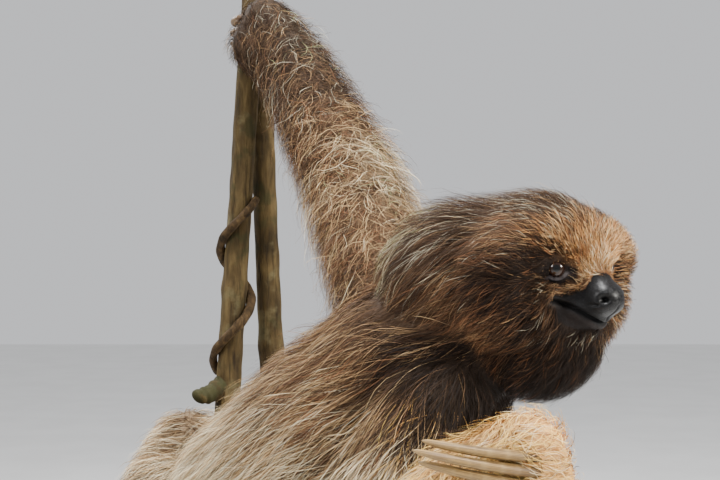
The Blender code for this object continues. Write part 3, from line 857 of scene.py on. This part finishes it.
def grow_hairs(points, normals, leaders, under, part, steps, rng):
    """Lines of hairs that leave the skin, bend over and lie along the body: hairs x steps+1 x 3.

    Those that are under the others stay close to the skin.
    """
    count = len(points)
    around = NEIGHBOURS[part]
    distance, way, coat, _ = body_field(points, around)
    depth, length, curl = coat[:, 0], coat[:, 1], coat[:, 2]
    swing = rng.normal(0, 1, count)[leaders] * (0.08 + 0.35 * curl)
    swing += rng.normal(0, 1, count) * (0.09 + 0.45 * curl)
    wave = (0.12 + 1.0 * curl) * rng.uniform(0.4, 1.2, count) * np.where(rng.random(count) < 0.5, -1, 1)
    turns = rng.uniform(0.30, 0.60, count) + 0.10 * curl
    phase = rng.normal(0, 0.5, count)[leaders] + rng.normal(0, 0.6, count)
    level = rng.beta(2.6, 1.1, count)
    stray = rng.random(count) < STRAYS.get(part, 0.04)
    level = np.where(stray, rng.uniform(1.0, 1.0 + 0.5 * (0.4 + curl), count), level)
    level = np.where(under, 0.35 * level, level)
    length = length * rng.uniform(0.65, 1.1, count) * (0.9 + 0.2 * rng.random(count)[leaders])
    misfit = distance + depth
    line = [points]
    here, out = points, unit(way + normals)
    for step in range(1, steps + 1):
        share = step / steps
        lie = unit(coat[:, 3:] - out * (coat[:, 3:] * out).sum(1)[:, None])
        side = np.cross(out, lie)
        heading = swing + wave * np.sin(2 * pi * turns * share + phase)
        ahead = lie * np.cos(heading)[:, None] + side * np.sin(heading)[:, None]
        here = here + ahead * (length / steps)[:, None]
        distance, out, coat, _ = body_field(here, around)
        rise = 1 - (1 - share) ** 1.8
        target = -coat[:, 0] * (1 - level * rise) + misfit * (1 - share)
        target = target + curl * 0.0016 * np.sin(2 * pi * turns * share * 1.3 + phase * 2)
        lift = np.clip(target - distance, -0.010, 0.8 * length / steps)
        here = here + out * lift[:, None]
        line.append(here)
    line = np.stack(line, axis=1)
    share = np.linspace(0, 1, steps + 1)[None, :, None]
    hold = np.clip(0.26 - 0.40 * curl, 0.03, 1)[:, None, None] * share**1.3 * (~stray)[:, None, None]
    start = (points - points[leaders])[:, None, :]
    return line + hold * (line[leaders] + start * 0.45 - line)


def clear_share(lines, part):
    """How far along each hair runs before it meets the eyes, the bare muzzle or another limb."""
    count, knots, _ = lines.shape
    points = lines.reshape(-1, 3)
    met = np.zeros(len(points), bool)
    if part == "head":
        own = in_head(points)
        met |= (bare_share(own) > 0.6) & (own[:, 0] > 0.020)
    others = [name for name in PARTS if name not in (*NEIGHBOURS[part], "nape", "head")]
    distance, _, coat, _ = body_field(points, others)
    met |= distance < -0.55 * coat[:, 0]
    met = met.reshape(count, knots)
    first = np.where(met.any(1), met.argmax(1), knots)
    return np.clip((first - 0.6) / (knots - 1), 0.10, 1.0)


def cut_back(lines, share):
    """Each line drawn again over only this share of its length."""
    knots = lines.shape[1]
    spots = np.linspace(0, 1, knots)[None, :] * share[:, None] * (knots - 1)
    low = np.minimum(spots.astype(int), knots - 2)
    part = (spots - low)[:, :, None]
    rows = np.arange(len(lines))[:, None]
    return lines[rows, low] * (1 - part) + lines[rows, low + 1] * part


def settle(lines, tree):
    """Lifts the hairs that dip into the skin, and lays those of the face close over it."""
    knots = lines.shape[1]
    points = lines[:, 1:].reshape(-1, 3)
    found = [tree.find_nearest(point)[:2] for point in points]
    feet = np.array([spot[0] for spot in found])
    ways = np.array([spot[1] for spot in found])
    height = ((points - feet) * ways).sum(1)
    along = np.tile(np.arange(1, knots) / (knots - 1), len(lines))
    own = in_head(points)
    deepest = 0.0022 + 0.0300 * ramp(nose_distance(own), 0.022, 0.056)
    deepest += 0.0040 * ramp(own[:, 2], 0.008, 0.015)
    deepest = np.where(lengths(own) < FACE_REACH, deepest, 1.0)
    wanted = np.clip(height, 0.0003 + 0.0005 * along, deepest)
    moved = points + ways * (wanted - height)[:, None]
    return np.concatenate((lines[:, :1], moved.reshape(len(lines), knots - 1, 3)), axis=1)


def ribbon_mesh(name, line, width, places, roots, tips, rng):
    """Tapered flat hairs along these lines as one mesh, with its colours and its unwrap."""
    count, knots, _ = line.shape
    steps = knots - 1
    tangent = unit(np.gradient(line, axis=1))
    _, out, _, _ = body_field(line[:, 1])
    twist = rng.normal(0, 0.55, count)
    side = unit(np.cross(tangent, out[:, None, :]))
    face = np.cross(side, tangent)
    side = side * np.cos(twist)[:, None, None] + face * np.sin(twist)[:, None, None]
    share = np.linspace(0, 1, knots)
    taper = np.sqrt(np.clip(1 - share**1.6, 0, 1)) * np.minimum(1, 0.7 + share)
    half = side * (width[:, None] * taper[None, :] / 2)[:, :, None]
    verts = np.empty((count, 2 * steps + 1, 3), np.float32)
    verts[:, 0:2 * steps:2] = (line - half)[:, :-1]
    verts[:, 1:2 * steps:2] = (line + half)[:, :-1]
    verts[:, -1] = line[:, -1]

    base = (np.arange(count) * (2 * steps + 1))[:, None]
    quad = np.array([(2 * k, 2 * k + 1, 2 * k + 3, 2 * k + 2) for k in range(steps - 1)]).reshape(-1)
    tip = np.array((2 * steps - 2, 2 * steps - 1, 2 * steps))
    loops = np.concatenate((base + quad, base + tip), axis=1).ravel().astype(np.int32)
    sizes = np.tile(np.array([4] * (steps - 1) + [3], np.int32), count)
    starts = np.concatenate(((0,), np.cumsum(sizes)[:-1])).astype(np.int32)

    mesh = bpy.data.meshes.new(name)
    mesh.vertices.add(count * (2 * steps + 1))
    mesh.vertices.foreach_set("co", verts.ravel())
    mesh.loops.add(len(loops))
    mesh.loops.foreach_set("vertex_index", loops)
    mesh.polygons.add(len(sizes))
    mesh.polygons.foreach_set("loop_start", starts)
    mesh.update(calc_edges=True)
    mesh.shade_smooth()

    along = np.empty(2 * steps + 1)
    along[0:2 * steps:2] = along[1:2 * steps:2] = share[:-1]
    along[-1] = 1
    shade = np.clip(along * 1.5, 0, 1)[None, :, None]
    colours = roots[:, None, :] * (1 - shade) + tips[:, None, :] * shade
    colour_layer(mesh, "hair_colour", colours.reshape(-1, 3))

    across = np.zeros(2 * steps + 1)
    across[1:2 * steps:2] = 1
    across[-1] = 0.5
    patch = np.stack((across - 0.5, along - 0.5), axis=1) * 0.003
    spread = (places[:, None, :] + patch[None]).reshape(-1, 2).astype(np.float32)
    layer = mesh.uv_layers.new(name="OFBake")
    layer.data.foreach_set("uv", spread[loops].ravel())
    mesh.validate()
    return mesh


def make_coat(skin, finish):
    triangles = skin_triangles(skin)
    tree = BVHTree.FromObject(skin, bpy.context.evaluated_depsgraph_get())
    for number, (name, (parts, pieces, hairs, steps, width)) in enumerate(COATS.items()):
        rng = np.random.default_rng(FIRST_SEED + number)
        points, normals, places = scatter(triangles, parts, pieces * hairs, rng)
        order = np.argsort(-points[:, 2])
        points, normals, places = points[order], normals[order], places[order]
        leaders = clump_leaders(points, LOCK_SIZE, rng)
        under = rng.random(len(points)) < UNDER_SHARE
        lines = grow_hairs(points, normals, leaders, under, parts[0], steps, rng)
        lines = cut_back(lines, clear_share(lines, parts[0]))
        lines = settle(lines, tree)
        roots, tips = hair_colours(points, leaders, "head" in parts, rng)
        widths = width * rng.uniform(0.6, 1.4, len(points))
        widths = np.where(under, width * 2.6, widths)
        tips = np.where(under[:, None], 0.7 * roots + 0.3 * tips, tips)
        for piece in range(pieces):
            these = slice(piece * hairs, (piece + 1) * hairs)
            label = name if pieces == 1 else f"{name}_{piece + 1}"
            rows = (values[these] for values in (lines, widths, places, roots, tips))
            new_piece(label, ribbon_mesh(label, *rows, rng), "coat", finish)


# ---------------------------------------------------------------- materials
class Wire:
    """One output of a node. Plain arithmetic on it adds the Math nodes."""

    def __init__(self, paint, socket):
        self.paint, self.socket = paint, socket

    def __add__(self, other):
        return self.paint.sum("ADD", self, other)

    def __sub__(self, other):
        return self.paint.sum("SUBTRACT", self, other)

    def __rsub__(self, other):
        return self.paint.sum("SUBTRACT", other, self)

    def __mul__(self, other):
        return self.paint.sum("MULTIPLY", self, other)

    __radd__, __rmul__ = __add__, __mul__


class Paint:
    """One material and the nodes that it is made of."""

    def __init__(self, name):
        self.material = bpy.data.materials.new(name)
        self.material.use_nodes = True
        self.tree = self.material.node_tree
        self.tree.nodes.clear()

    def node(self, kind, settings=None, inputs=None, output=0):
        """Adds a node, with its settings first and then the values or wires of its sockets."""
        made = self.tree.nodes.new(kind)
        for key, value in (settings or {}).items():
            setattr(made, key, value)
        for key, value in (inputs or {}).items():
            socket = made.inputs[key]
            if isinstance(value, Wire):
                self.tree.links.new(value.socket, socket)
            elif socket.type == "RGBA":
                socket.default_value = (*value, 1)
            else:
                socket.default_value = value
        return Wire(self, made.outputs[output]) if made.outputs else None

    def sum(self, operation, *values):
        return self.node("ShaderNodeMath", {"operation": operation}, dict(enumerate(values)))

    def place(self, scale=(1, 1, 1)):
        """Object coordinates, stretched."""
        own = self.node("ShaderNodeTexCoord", output="Object")
        return self.node("ShaderNodeMapping", inputs={"Vector": own, "Scale": scale})

    def noise(self, vector, scale, detail=3.0, roughness=0.5, distortion=0.0):
        return self.node("ShaderNodeTexNoise", inputs={
            "Vector": vector, "Scale": scale, "Detail": detail, "Roughness": roughness,
            "Distortion": distortion,
        }, output="Fac")

    def cells(self, vector, scale, feature="F1"):
        sockets = {"Vector": vector, "Scale": scale}
        return self.node("ShaderNodeTexVoronoi", {"feature": feature}, sockets, "Distance")

    def between(self, value, low, high, start=0.0, end=1.0):
        return self.node("ShaderNodeMapRange", {"interpolation_type": "SMOOTHSTEP"}, {
            "Value": value, "From Min": low, "From Max": high, "To Min": start, "To Max": end,
        })

    def mix(self, share, first, second, kind="MIX"):
        return self.node(
            "ShaderNodeMix", {"data_type": "RGBA", "blend_type": kind}, {0: share, 6: first, 7: second}, 2
        )

    def tint(self, under, over, value, low, high, most=1.0, kind="MIX"):
        """The colour under, with this much of the colour over it as the value runs from low to high."""
        return self.mix(self.between(value, low, high, 0.0, most), under, over, kind)

    def colours(self, value, *stops):
        """Colours along a value. Each stop is a place and its colour."""
        made = self.node("ShaderNodeValToRGB", inputs={"Fac": value})
        elements = made.socket.node.color_ramp.elements
        while len(elements) < len(stops):
            elements.new(0.5)
        for element, (place, colour) in zip(elements, stops):
            element.position, element.color = place, (*colour, 1)
        return made

    def layer(self, name, output="Color"):
        return self.node("ShaderNodeAttribute", {"attribute_name": name}, output=output)

    def bump(self, height, distance, strength):
        return self.node("ShaderNodeBump", inputs={
            "Height": height, "Distance": distance, "Strength": strength,
        })

    def finish(self, **sockets):
        """Closes the material with its shader; names are those of the sockets with _ for spaces."""
        named = {key.replace("_", " "): value for key, value in sockets.items()}
        shader = self.node("ShaderNodeBsdfPrincipled", inputs=named)
        self.node("ShaderNodeOutputMaterial", inputs={"Surface": shader})
        return self.material


def hair_finish():
    paint = Paint("hair")
    own = paint.place()
    fine = paint.noise(own, 900, 2)
    drift = paint.noise(own, 60, 3)
    colour = paint.layer("hair_colour")
    tint = paint.mix(0.28 * drift, colour, (0.42, 0.37, 0.28), "MULTIPLY")
    shade = paint.tint(tint, (0.72, 0.68, 0.62), fine, 0.35, 0.7, 0.30, "MULTIPLY")
    return paint.finish(
        Base_Color=shade,
        Roughness=paint.between(fine, 0.3, 0.7, 0.52, 0.70),
        Normal=paint.bump(fine, 0.0002, 0.3),
        Specular_IOR_Level=0.08,
    )


def skin_finish():
    paint = Paint("skin")
    own = paint.place()
    bare = paint.layer("bare", "Fac")
    wet = paint.layer("wet", "Fac")
    colour = paint.layer("skin_colour")
    blotch = paint.noise(own, 220, 4)
    pores = paint.cells(own, 1500)
    creases = paint.cells(own, 620, "DISTANCE_TO_EDGE")
    fluff = paint.noise(paint.place((1, 1, 0.3)), 700, 3)
    shade = paint.tint(colour, (0.45, 0.42, 0.42), blotch, 0.35, 0.65, 0.45, "MULTIPLY")
    relief = paint.between(creases, 0.0, 0.12) * bare + 0.5 * pores * bare + fluff * (1 - bare)
    rough = 0.68 - 0.08 * bare - 0.24 * wet + 0.12 * (blotch - 0.5)
    return paint.finish(
        Base_Color=shade, Roughness=rough, Normal=paint.bump(relief, 0.0002, 0.5),
        Coat_Weight=0.09 * wet, Coat_Roughness=0.26, Specular_IOR_Level=0.14,
    )


def eye_finish():
    """Dark brown iris with a black pupil, under a clear wet surface."""
    paint = Paint("eye")
    own = paint.place()
    iris = paint.layer("iris", "Fac")
    rays = paint.noise(own, 1800, 2)
    ring = paint.tint((0.002, 0.002, 0.002), (0.016, 0.007, 0.004), iris, 0.30, 0.42)
    edge = paint.tint(ring, (0.005, 0.003, 0.003), iris, 0.78, 0.95)
    white = paint.tint(edge, (0.022, 0.013, 0.011), iris, 0.98, 1.08)
    shade = paint.tint(white, (0.4, 0.35, 0.3), rays, 0.4, 0.7, 0.4, "MULTIPLY")
    return paint.finish(
        Base_Color=shade, Roughness=paint.between(rays, 0.3, 0.7, 0.10, 0.16),
        Coat_Weight=0.24, Coat_Roughness=0.10, Coat_IOR=1.4, Specular_IOR_Level=0.22,
    )


def claw_finish():
    paint = Paint("claw")
    along = paint.layer("along", "Fac")
    around = paint.layer("around", "Fac")
    own = paint.place()
    lengthwise = paint.node("ShaderNodeCombineXYZ", inputs={"X": around * 22.0, "Y": along * 1.6})
    fibre = paint.noise(lengthwise, 1.6, 4, 0.6)
    crosswise = paint.node("ShaderNodeCombineXYZ", inputs={"X": around * 0.6, "Y": along * 16.0})
    bands = paint.noise(crosswise, 1.0, 3)
    stains = paint.noise(own, 120, 4)
    body = paint.tint((0.140, 0.076, 0.022), (0.330, 0.205, 0.070), along, 0.0, 0.9)
    streak = paint.tint(body, (0.040, 0.019, 0.007), fibre, 0.40, 0.56, 0.85)
    ringed = paint.tint(streak, (0.33, 0.23, 0.10), bands, 0.45, 0.70, 0.25)
    root = paint.tint(ringed, (0.070, 0.036, 0.017), along, 0.16, 0.0, 0.80)
    dirty = paint.tint(root, (0.130, 0.076, 0.036), stains, 0.50, 0.70, 0.50)
    return paint.finish(
        Base_Color=dirty, Roughness=0.36 + 0.22 * fibre,
        Normal=paint.bump(fibre + 0.5 * bands, 0.0003, 0.5), Specular_IOR_Level=0.3,
    )


def bark_finish(name, moss_share):
    """Weathered bark; the share of moss runs from 0 to 1."""
    paint = Paint(name)
    long_grain = paint.place((1, 1, 0.10))
    own = paint.place()
    grain = paint.noise(long_grain, 420, 5, 0.6)
    plates = paint.noise(paint.place((1, 1, 0.28)), 120, 5, 0.55, 0.4)
    moss = paint.noise(own, 55, 5, 0.6)
    lichen = paint.noise(own, 38, 4, 0.6)
    base = paint.colours(
        plates,
        (0.25, (0.012, 0.008, 0.003)), (0.48, (0.048, 0.031, 0.011)), (0.72, (0.105, 0.072, 0.028)),
    )
    lines = paint.tint(base, (0.014, 0.009, 0.005), grain, 0.50, 0.66, 0.7)
    pale = paint.tint(lines, (0.130, 0.110, 0.055), lichen, 0.56, 0.70, 0.45)
    edge = 0.60 - 0.20 * moss_share
    green = paint.tint(
        pale, (0.026, 0.025, 0.009), moss, edge, edge + 0.14, 0.50 + 0.45 * moss_share
    )
    return paint.finish(
        Base_Color=green, Roughness=paint.between(grain, 0.2, 0.8, 0.70, 0.95),
        Normal=paint.bump(plates + 0.6 * grain, 0.0012, 0.8), Specular_IOR_Level=0.15,
    )


def vine_finish():
    paint = Paint("vine")
    own = paint.place()
    ridge = paint.noise(paint.place((1, 1, 0.5)), 260, 5, 0.6, 0.6)
    fine = paint.noise(own, 1100, 3)
    base = paint.colours(
        ridge,
        (0.30, (0.010, 0.006, 0.002)), (0.55, (0.038, 0.022, 0.009)), (0.75, (0.090, 0.056, 0.023)),
    )
    dust = paint.tint(base, (0.090, 0.062, 0.026), fine, 0.55, 0.75, 0.4)
    return paint.finish(
        Base_Color=dust, Roughness=paint.between(fine, 0.2, 0.8, 0.75, 0.95),
        Normal=paint.bump(ridge + 0.3 * fine, 0.0010, 0.8), Specular_IOR_Level=0.15,
    )


def base_finish():
    paint = Paint("stained_wood")
    rings = paint.noise(paint.place((0.35, 6.0, 2.0)), 14, 6, 0.6, 0.8)
    pores = paint.noise(paint.place((4.0, 90.0, 20.0)), 9, 3)
    base = paint.colours(
        rings,
        (0.30, (0.030, 0.016, 0.009)), (0.52, (0.075, 0.040, 0.022)), (0.72, (0.130, 0.072, 0.040)),
    )
    shade = paint.tint(base, (0.018, 0.010, 0.006), pores, 0.55, 0.70, 0.6)
    return paint.finish(
        Base_Color=shade, Roughness=0.30 + 0.25 * pores, Normal=paint.bump(pores, 0.0003, 0.35),
        Coat_Weight=0.4, Coat_Roughness=0.22,
    )


def steel_finish():
    paint = Paint("brushed_steel")
    brush = paint.noise(paint.place((1, 1, 0.02)), 3000, 3)
    smudge = paint.noise(paint.place(), 60, 4)
    shade = paint.tint((0.46, 0.46, 0.47), (0.60, 0.60, 0.61), brush, 0.35, 0.65)
    return paint.finish(
        Base_Color=shade, Metallic=1.0, Roughness=0.26 + 0.16 * smudge + 0.08 * brush,
        Normal=paint.bump(brush, 0.0001, 0.2),
    )


def floor_finish():
    paint = Paint("floor")
    speck = paint.noise(paint.place(), 6, 2)
    shade = paint.tint((0.76, 0.76, 0.75), (0.80, 0.80, 0.79), speck, 0.3, 0.7)
    return paint.finish(Base_Color=shade, Roughness=0.9)


# ---------------------------------------------------------------- eyes
def make_eye(side, name, finish):
    """A ball with a slight bulge of the clear front, and a layer that tells how far the iris reaches."""
    centre, look, _, _ = eye_frame(side)
    bm = bmesh.new()
    turn = Vector(HEAD_AXES.T @ look).to_track_quat("Z", "Y").to_matrix().to_4x4()
    place = Matrix.Translation(on_head(centre)) @ turn
    bmesh.ops.create_uvsphere(bm, u_segments=48, v_segments=32, radius=EYE_RADIUS, matrix=place)
    mesh = mesh_from(bm, name)
    points = corners(mesh)
    offset = in_head(points) - centre
    facing = unit(offset) @ look
    bulge = ramp(facing, 0.55, 0.85) * 0.0004
    place_corners(mesh, points + (unit(offset) @ HEAD_AXES) * bulge[:, None])
    number_layer(mesh, "iris", np.arccos(np.clip(facing, -1, 1)) / IRIS_EDGE)
    return new_piece(name + "_ball", mesh, "eye", finish, name)


# ---------------------------------------------------------------- claws
CLAW_WIDE = 0.0031
CLAW_DEEP = 0.0042
CLAW_SUNK = 0.004  # how far its root is sunk in the paw
# Where each set of claws leaves its paw, its way out, the way it bends, its length, its turn in
# degrees, the room between claws and how much they close in.
CLAW_SEATS = {
    "left_hand": (
        (-0.0672, 0.0940, 0.7020), (-0.574, 0.819, 0.04), (0.819, 0.574, 0.0), 0.074, 120, 0.0088, 0.05,
    ),
    "right_hand": (
        (0.1090, -0.2630, 0.4450), (-0.56, -0.80, 0.114), (-0.80, 0.56, 0.134), 0.074, 88, 0.0080, 0.064,
    ),
    "left_foot": ((-0.1040, 0.1100, 0.4000), (0.05, 1, 0.03), (1, -0.05, 0.02), 0.056, 150, 0.0085, 0.05),
    "right_foot": (
        (-0.0120, 0.1320, 0.2360), (-0.10, 1, -0.02), (-1, -0.10, 0.02), 0.056, 150, 0.0085, 0.05,
    ),
}


def ring_tube(stations, sides):
    """A closed tube through rings of (centre, side, rise), with side and rise as half axes."""
    bm = bmesh.new()
    rings = []
    for centre, side, rise in stations:
        made = bmesh.ops.create_circle(bm, segments=sides, radius=1.0)["verts"]
        for vert in made:
            vert.co = Vector(centre + side * vert.co.x + rise * vert.co.y)
        rings.append(list(made))
    for low, high in zip(rings, rings[1:]):
        for k in range(sides):
            bm.faces.new((low[k], low[(k + 1) % sides], high[(k + 1) % sides], high[k]))
    for ring in (rings[0], rings[-1]):
        bmesh.ops.contextual_create(bm, geom=ring)
    bmesh.ops.recalc_face_normals(bm, faces=list(bm.faces))
    return bm


def make_claw(name, root, along, inward, across, arc, turn, finish):
    steps, sides = 30, 28
    stations, shares = [], []
    centre = np.array(root)
    for k in range(steps + 1):
        share = k / steps
        angle = turn * share
        ahead = unit(along * cos(angle) + inward * sin(angle))
        deep = np.cross(ahead, across)
        taper = (1 - 0.42 * share) * sqrt(max(0.03, 1 - share**14))
        stations.append((centre.copy(), across * CLAW_WIDE * taper, deep * CLAW_DEEP * taper))
        shares += [share] * sides
        centre = centre + ahead * arc / steps
    mesh = mesh_from(ring_tube(stations, sides), name)
    number_layer(mesh, "along", np.array(shares))
    turnwise = np.arange(len(shares)) % sides / sides
    number_layer(mesh, "around", 1 - np.abs(2 * turnwise - 1))
    new_piece(name + "_horn", mesh, "claw", finish, name)


def make_claws(finish):
    for paw, (root, along, inward, arc, turn, spread, converge) in CLAW_SEATS.items():
        along, inward = unit(along), unit(inward)
        across = unit(np.cross(along, inward))
        for number, side in ((1, -1), (2, 0), (3, 1)):
            start = np.array(root) + across * side * spread - along * CLAW_SUNK
            toe = unit(along - across * side * converge)
            length = arc * (1.0 if side == 0 else 0.95) + CLAW_SUNK
            make_claw(f"{paw}_claw_{number}", start, toe, inward, across, length, radians(turn), finish)


# ---------------------------------------------------------------- perch and stand
STEM_RADIUS = 0.0088
STEM_FOOT_Z, STEM_TOP_Z = 0.100, 0.800
# Two points of each stem's middle line, and how far it bows forward.
STEM_SPOTS = {
    "left": ((-0.0770, 0.1100, 0.44), (-0.0610, 0.1110, 0.69), 0.003),
    "right": ((-0.0460, 0.1300, 0.44), (-0.0558, 0.1290, 0.69), 0.0),
}
STEM_RIDGES, STEM_RELIEF = 7, 0.0011
STEM_KNOTS = {"left": (0.215, 0.345, 0.515, 0.755), "right": (0.165, 0.300, 0.470, 0.650)}
KNOT_SWELL = 0.0010
VINE_RADIUS, VINE_PITCH = 0.0038, 0.0815
VINE_FRONT_Z, VINE_LOW_Z, VINE_HIGH_Z = 0.482, 0.452, 0.580
BRANCH_ROOT_Z, BRANCH_END = 0.447, np.array((-0.100, 0.088, 0.437))
BASE_RADIUS, BASE_HEIGHT, BASE_EDGE = 0.195, 0.022, 0.004
ROD_RADIUS = 0.006


def stem_point(side, z):
    low, high, bow = STEM_SPOTS[side]
    share = (z - low[2]) / (high[2] - low[2])
    middle = (z - STEM_FOOT_Z) / (STEM_TOP_Z - STEM_FOOT_Z)
    point = np.array(low) + share * (np.array(high) - np.array(low))
    return point - np.array((0, bow * sin(pi * middle), 0))


def stem_radius(side, z):
    swell = sum(KNOT_SWELL * np.exp(-(((z - knot) / 0.007) ** 2)) for knot in STEM_KNOTS[side])
    return STEM_RADIUS * (1.12 - 0.22 * z) + swell


def roughen(mesh, middle_of, ridges, depth, seed):
    """Raises lengthwise ridges and dents on a tube, outwards from its middle line."""
    rng = np.random.default_rng(seed)
    points = corners(mesh)
    offset = points - np.array([middle_of(point) for point in points])
    angle = np.arctan2(offset[:, 1], offset[:, 0])
    height = points[:, 2]
    relief = np.zeros(len(points))
    for ridge in range(1, ridges + 1):
        wander = np.sin(height * rng.uniform(4, 22) * 3) * 1.3
        relief += np.sin(ridge * angle + rng.uniform(0, 6.28) + wander) / ridge**0.5
        relief += 0.5 * np.sin(height * rng.uniform(60, 400) + rng.uniform(0, 6.28) + ridge * angle)
    place_corners(mesh, points + unit(offset) * (relief * depth / ridges)[:, None])


def round_station(centre, radius):
    """One level ring of an upright tube."""
    return np.array(centre), np.array((radius, 0, 0)), np.array((0, radius, 0))


def new_tube(name, stations, sides, slot, finish, node, *relief):
    """A tube as a piece, roughened where relief gives what roughen takes."""
    mesh = mesh_from(ring_tube(stations, sides), name)
    if relief:
        roughen(mesh, *relief)
    mesh.set_sharp_from_angle(angle=radians(60))
    new_piece(name, mesh, slot, finish, node)


def make_stem(side, finish):
    heights = np.linspace(STEM_FOOT_Z, STEM_TOP_Z, 260)
    stations = [round_station(stem_point(side, z), stem_radius(side, z)) for z in heights]
    new_tube(
        "stem_" + side, stations, 40, "bark", finish, "perch_stem_" + side,
        lambda p: np.array((*stem_point(side, p[2])[:2], p[2])), STEM_RIDGES, STEM_RELIEF, 3 + len(side),
    )


def make_vine(finish):
    turns = (VINE_HIGH_Z - VINE_LOW_Z) / VINE_PITCH
    steps = round(turns * 60)
    stations = []
    for k in range(steps + 1):
        share = k / steps
        z = VINE_LOW_Z + (VINE_HIGH_Z - VINE_LOW_Z) * share
        angle = -pi / 2 + 2 * pi * (z - VINE_FRONT_Z) / VINE_PITCH
        lumps = 1 + 0.06 * sin(31 * share * turns) + 0.05 * sin(57 * share * turns + 1)
        thickness = VINE_RADIUS * (1 - 0.25 * abs(2 * share - 1)) * lumps
        reach = stem_radius("left", z) + VINE_RADIUS * 0.92
        outward_way = np.array((cos(angle), sin(angle), 0))
        centre = stem_point("left", z) + outward_way * reach
        ahead = unit((-sin(angle), cos(angle), VINE_PITCH / (2 * pi * reach)))
        stations.append((centre, outward_way * thickness, np.cross(ahead, outward_way) * thickness))
    new_tube("vine", stations, 20, "vine", finish, "perch_vine")


def make_side_branch(finish):
    start = stem_point("left", BRANCH_ROOT_Z) + np.array((-0.002, 0, 0))
    ahead = unit(BRANCH_END - start)
    side = unit(np.cross(ahead, (0, 0, 1)))
    rise = np.cross(side, ahead)
    stations = []
    steps = 40
    for k in range(steps + 1):
        share = k / steps
        centre = start + (BRANCH_END - start) * share - np.array((0, 0, 0.004 * sin(pi * share)))
        radius = (0.0078 - 0.0022 * share) * (1 + 0.05 * sin(23 * share) + 0.04 * sin(41 * share))
        radius *= sqrt(max(0.15, 1 - share**12))
        stations.append((centre, side * radius, rise * radius))
    new_tube("branch", stations, 32, "bark", finish, "perch_branch")


def make_stand(wood, steel):
    bm = bmesh.new()
    bmesh.ops.create_cone(
        bm, cap_ends=True, segments=160, radius1=BASE_RADIUS, radius2=BASE_RADIUS, depth=BASE_HEIGHT,
        matrix=Matrix.Translation((0, 0, BASE_HEIGHT / 2)),
    )
    rim = [e for e in bm.edges if len(e.link_faces) == 2 and all(v.co.z > 0.01 for v in e.verts)]
    bmesh.ops.bevel(
        bm, geom=rim, offset=BASE_EDGE, segments=5, profile=0.5, affect="EDGES", material=-1
    )
    mesh = mesh_from(bm, "base")
    mesh.set_sharp_from_angle(angle=radians(40))
    new_piece("base", mesh, "base", wood, "stand_base")
    for side in STEM_SPOTS:
        foot = stem_point(side, STEM_FOOT_Z)
        heights = np.linspace(BASE_HEIGHT - 0.002, STEM_FOOT_Z + 0.002, 12)
        stations = [round_station((foot[0], foot[1], z), ROD_RADIUS) for z in heights]
        new_tube("rod_" + side, stations, 48, "steel", steel, "stand_rod_" + side)


# ---------------------------------------------------------------- studio
def make_floor(finish):
    bm = bmesh.new()
    bmesh.ops.create_grid(bm, x_segments=8, y_segments=8, size=6.0)
    floor = new_object("floor", mesh_from(bm, "floor"))
    floor.data.materials.append(finish)


# The lamps: where they stand, their size, energy and colour. All are turned to LIT_SPOT.
LAMPS = {
    "overhead": ((0.05, -0.35, 2.0), 0.6, 70, (1, 1, 1)),
    "front_left": ((-1.1, -1.3, 1.3), 0.6, 30, (1, 1, 1)),
    "side_right": ((1.4, -0.9, 1.1), 0.5, 58, (1.0, 0.97, 0.90)),
    "rim_left": ((-0.9, 1.0, 1.5), 0.6, 22, (1, 1, 1)),
}
LIT_SPOT = Vector((0.03, -0.05, 0.5))
CAMERA_PLACE, CAMERA_LENS = (0.02, -0.85, 0.55), 65


def make_studio():
    world = bpy.data.worlds.new("studio")
    bpy.context.scene.world = world
    world.use_nodes = True
    sky = world.node_tree.nodes["Background"]
    sky.inputs["Color"].default_value = (0.96, 0.97, 1.0, 1)
    sky.inputs["Strength"].default_value = 0.74
    for name, (place, size, energy, colour) in LAMPS.items():
        lamp = bpy.data.lights.new(name, "AREA")
        lamp.shape, lamp.size, lamp.energy, lamp.color = "DISK", size, energy, colour
        obj = new_object(name, lamp)
        obj.location = place
        obj.rotation_mode = "QUATERNION"
        obj.rotation_quaternion = (LIT_SPOT - Vector(place)).to_track_quat("-Z", "Y")
    camera = new_object("camera", bpy.data.cameras.new("camera"))
    camera.data.lens = CAMERA_LENS
    camera.location = CAMERA_PLACE
    camera.rotation_euler = (pi / 2, 0, 0)
    bpy.context.scene.camera = camera


def main():
    skin = make_skin(skin_finish())
    make_coat(skin, hair_finish())
    eye, claw, bark = eye_finish(), claw_finish(), bark_finish("bark", 0.4)
    make_eye(-1, "eye_left", eye)
    make_eye(1, "eye_right", eye)
    make_claws(claw)
    for side in STEM_SPOTS:
        make_stem(side, bark)
    make_side_branch(bark_finish("mossy_bark", 1.0))
    make_vine(vine_finish())
    make_stand(base_finish(), steel_finish())
    make_floor(floor_finish())
    make_studio()


main()
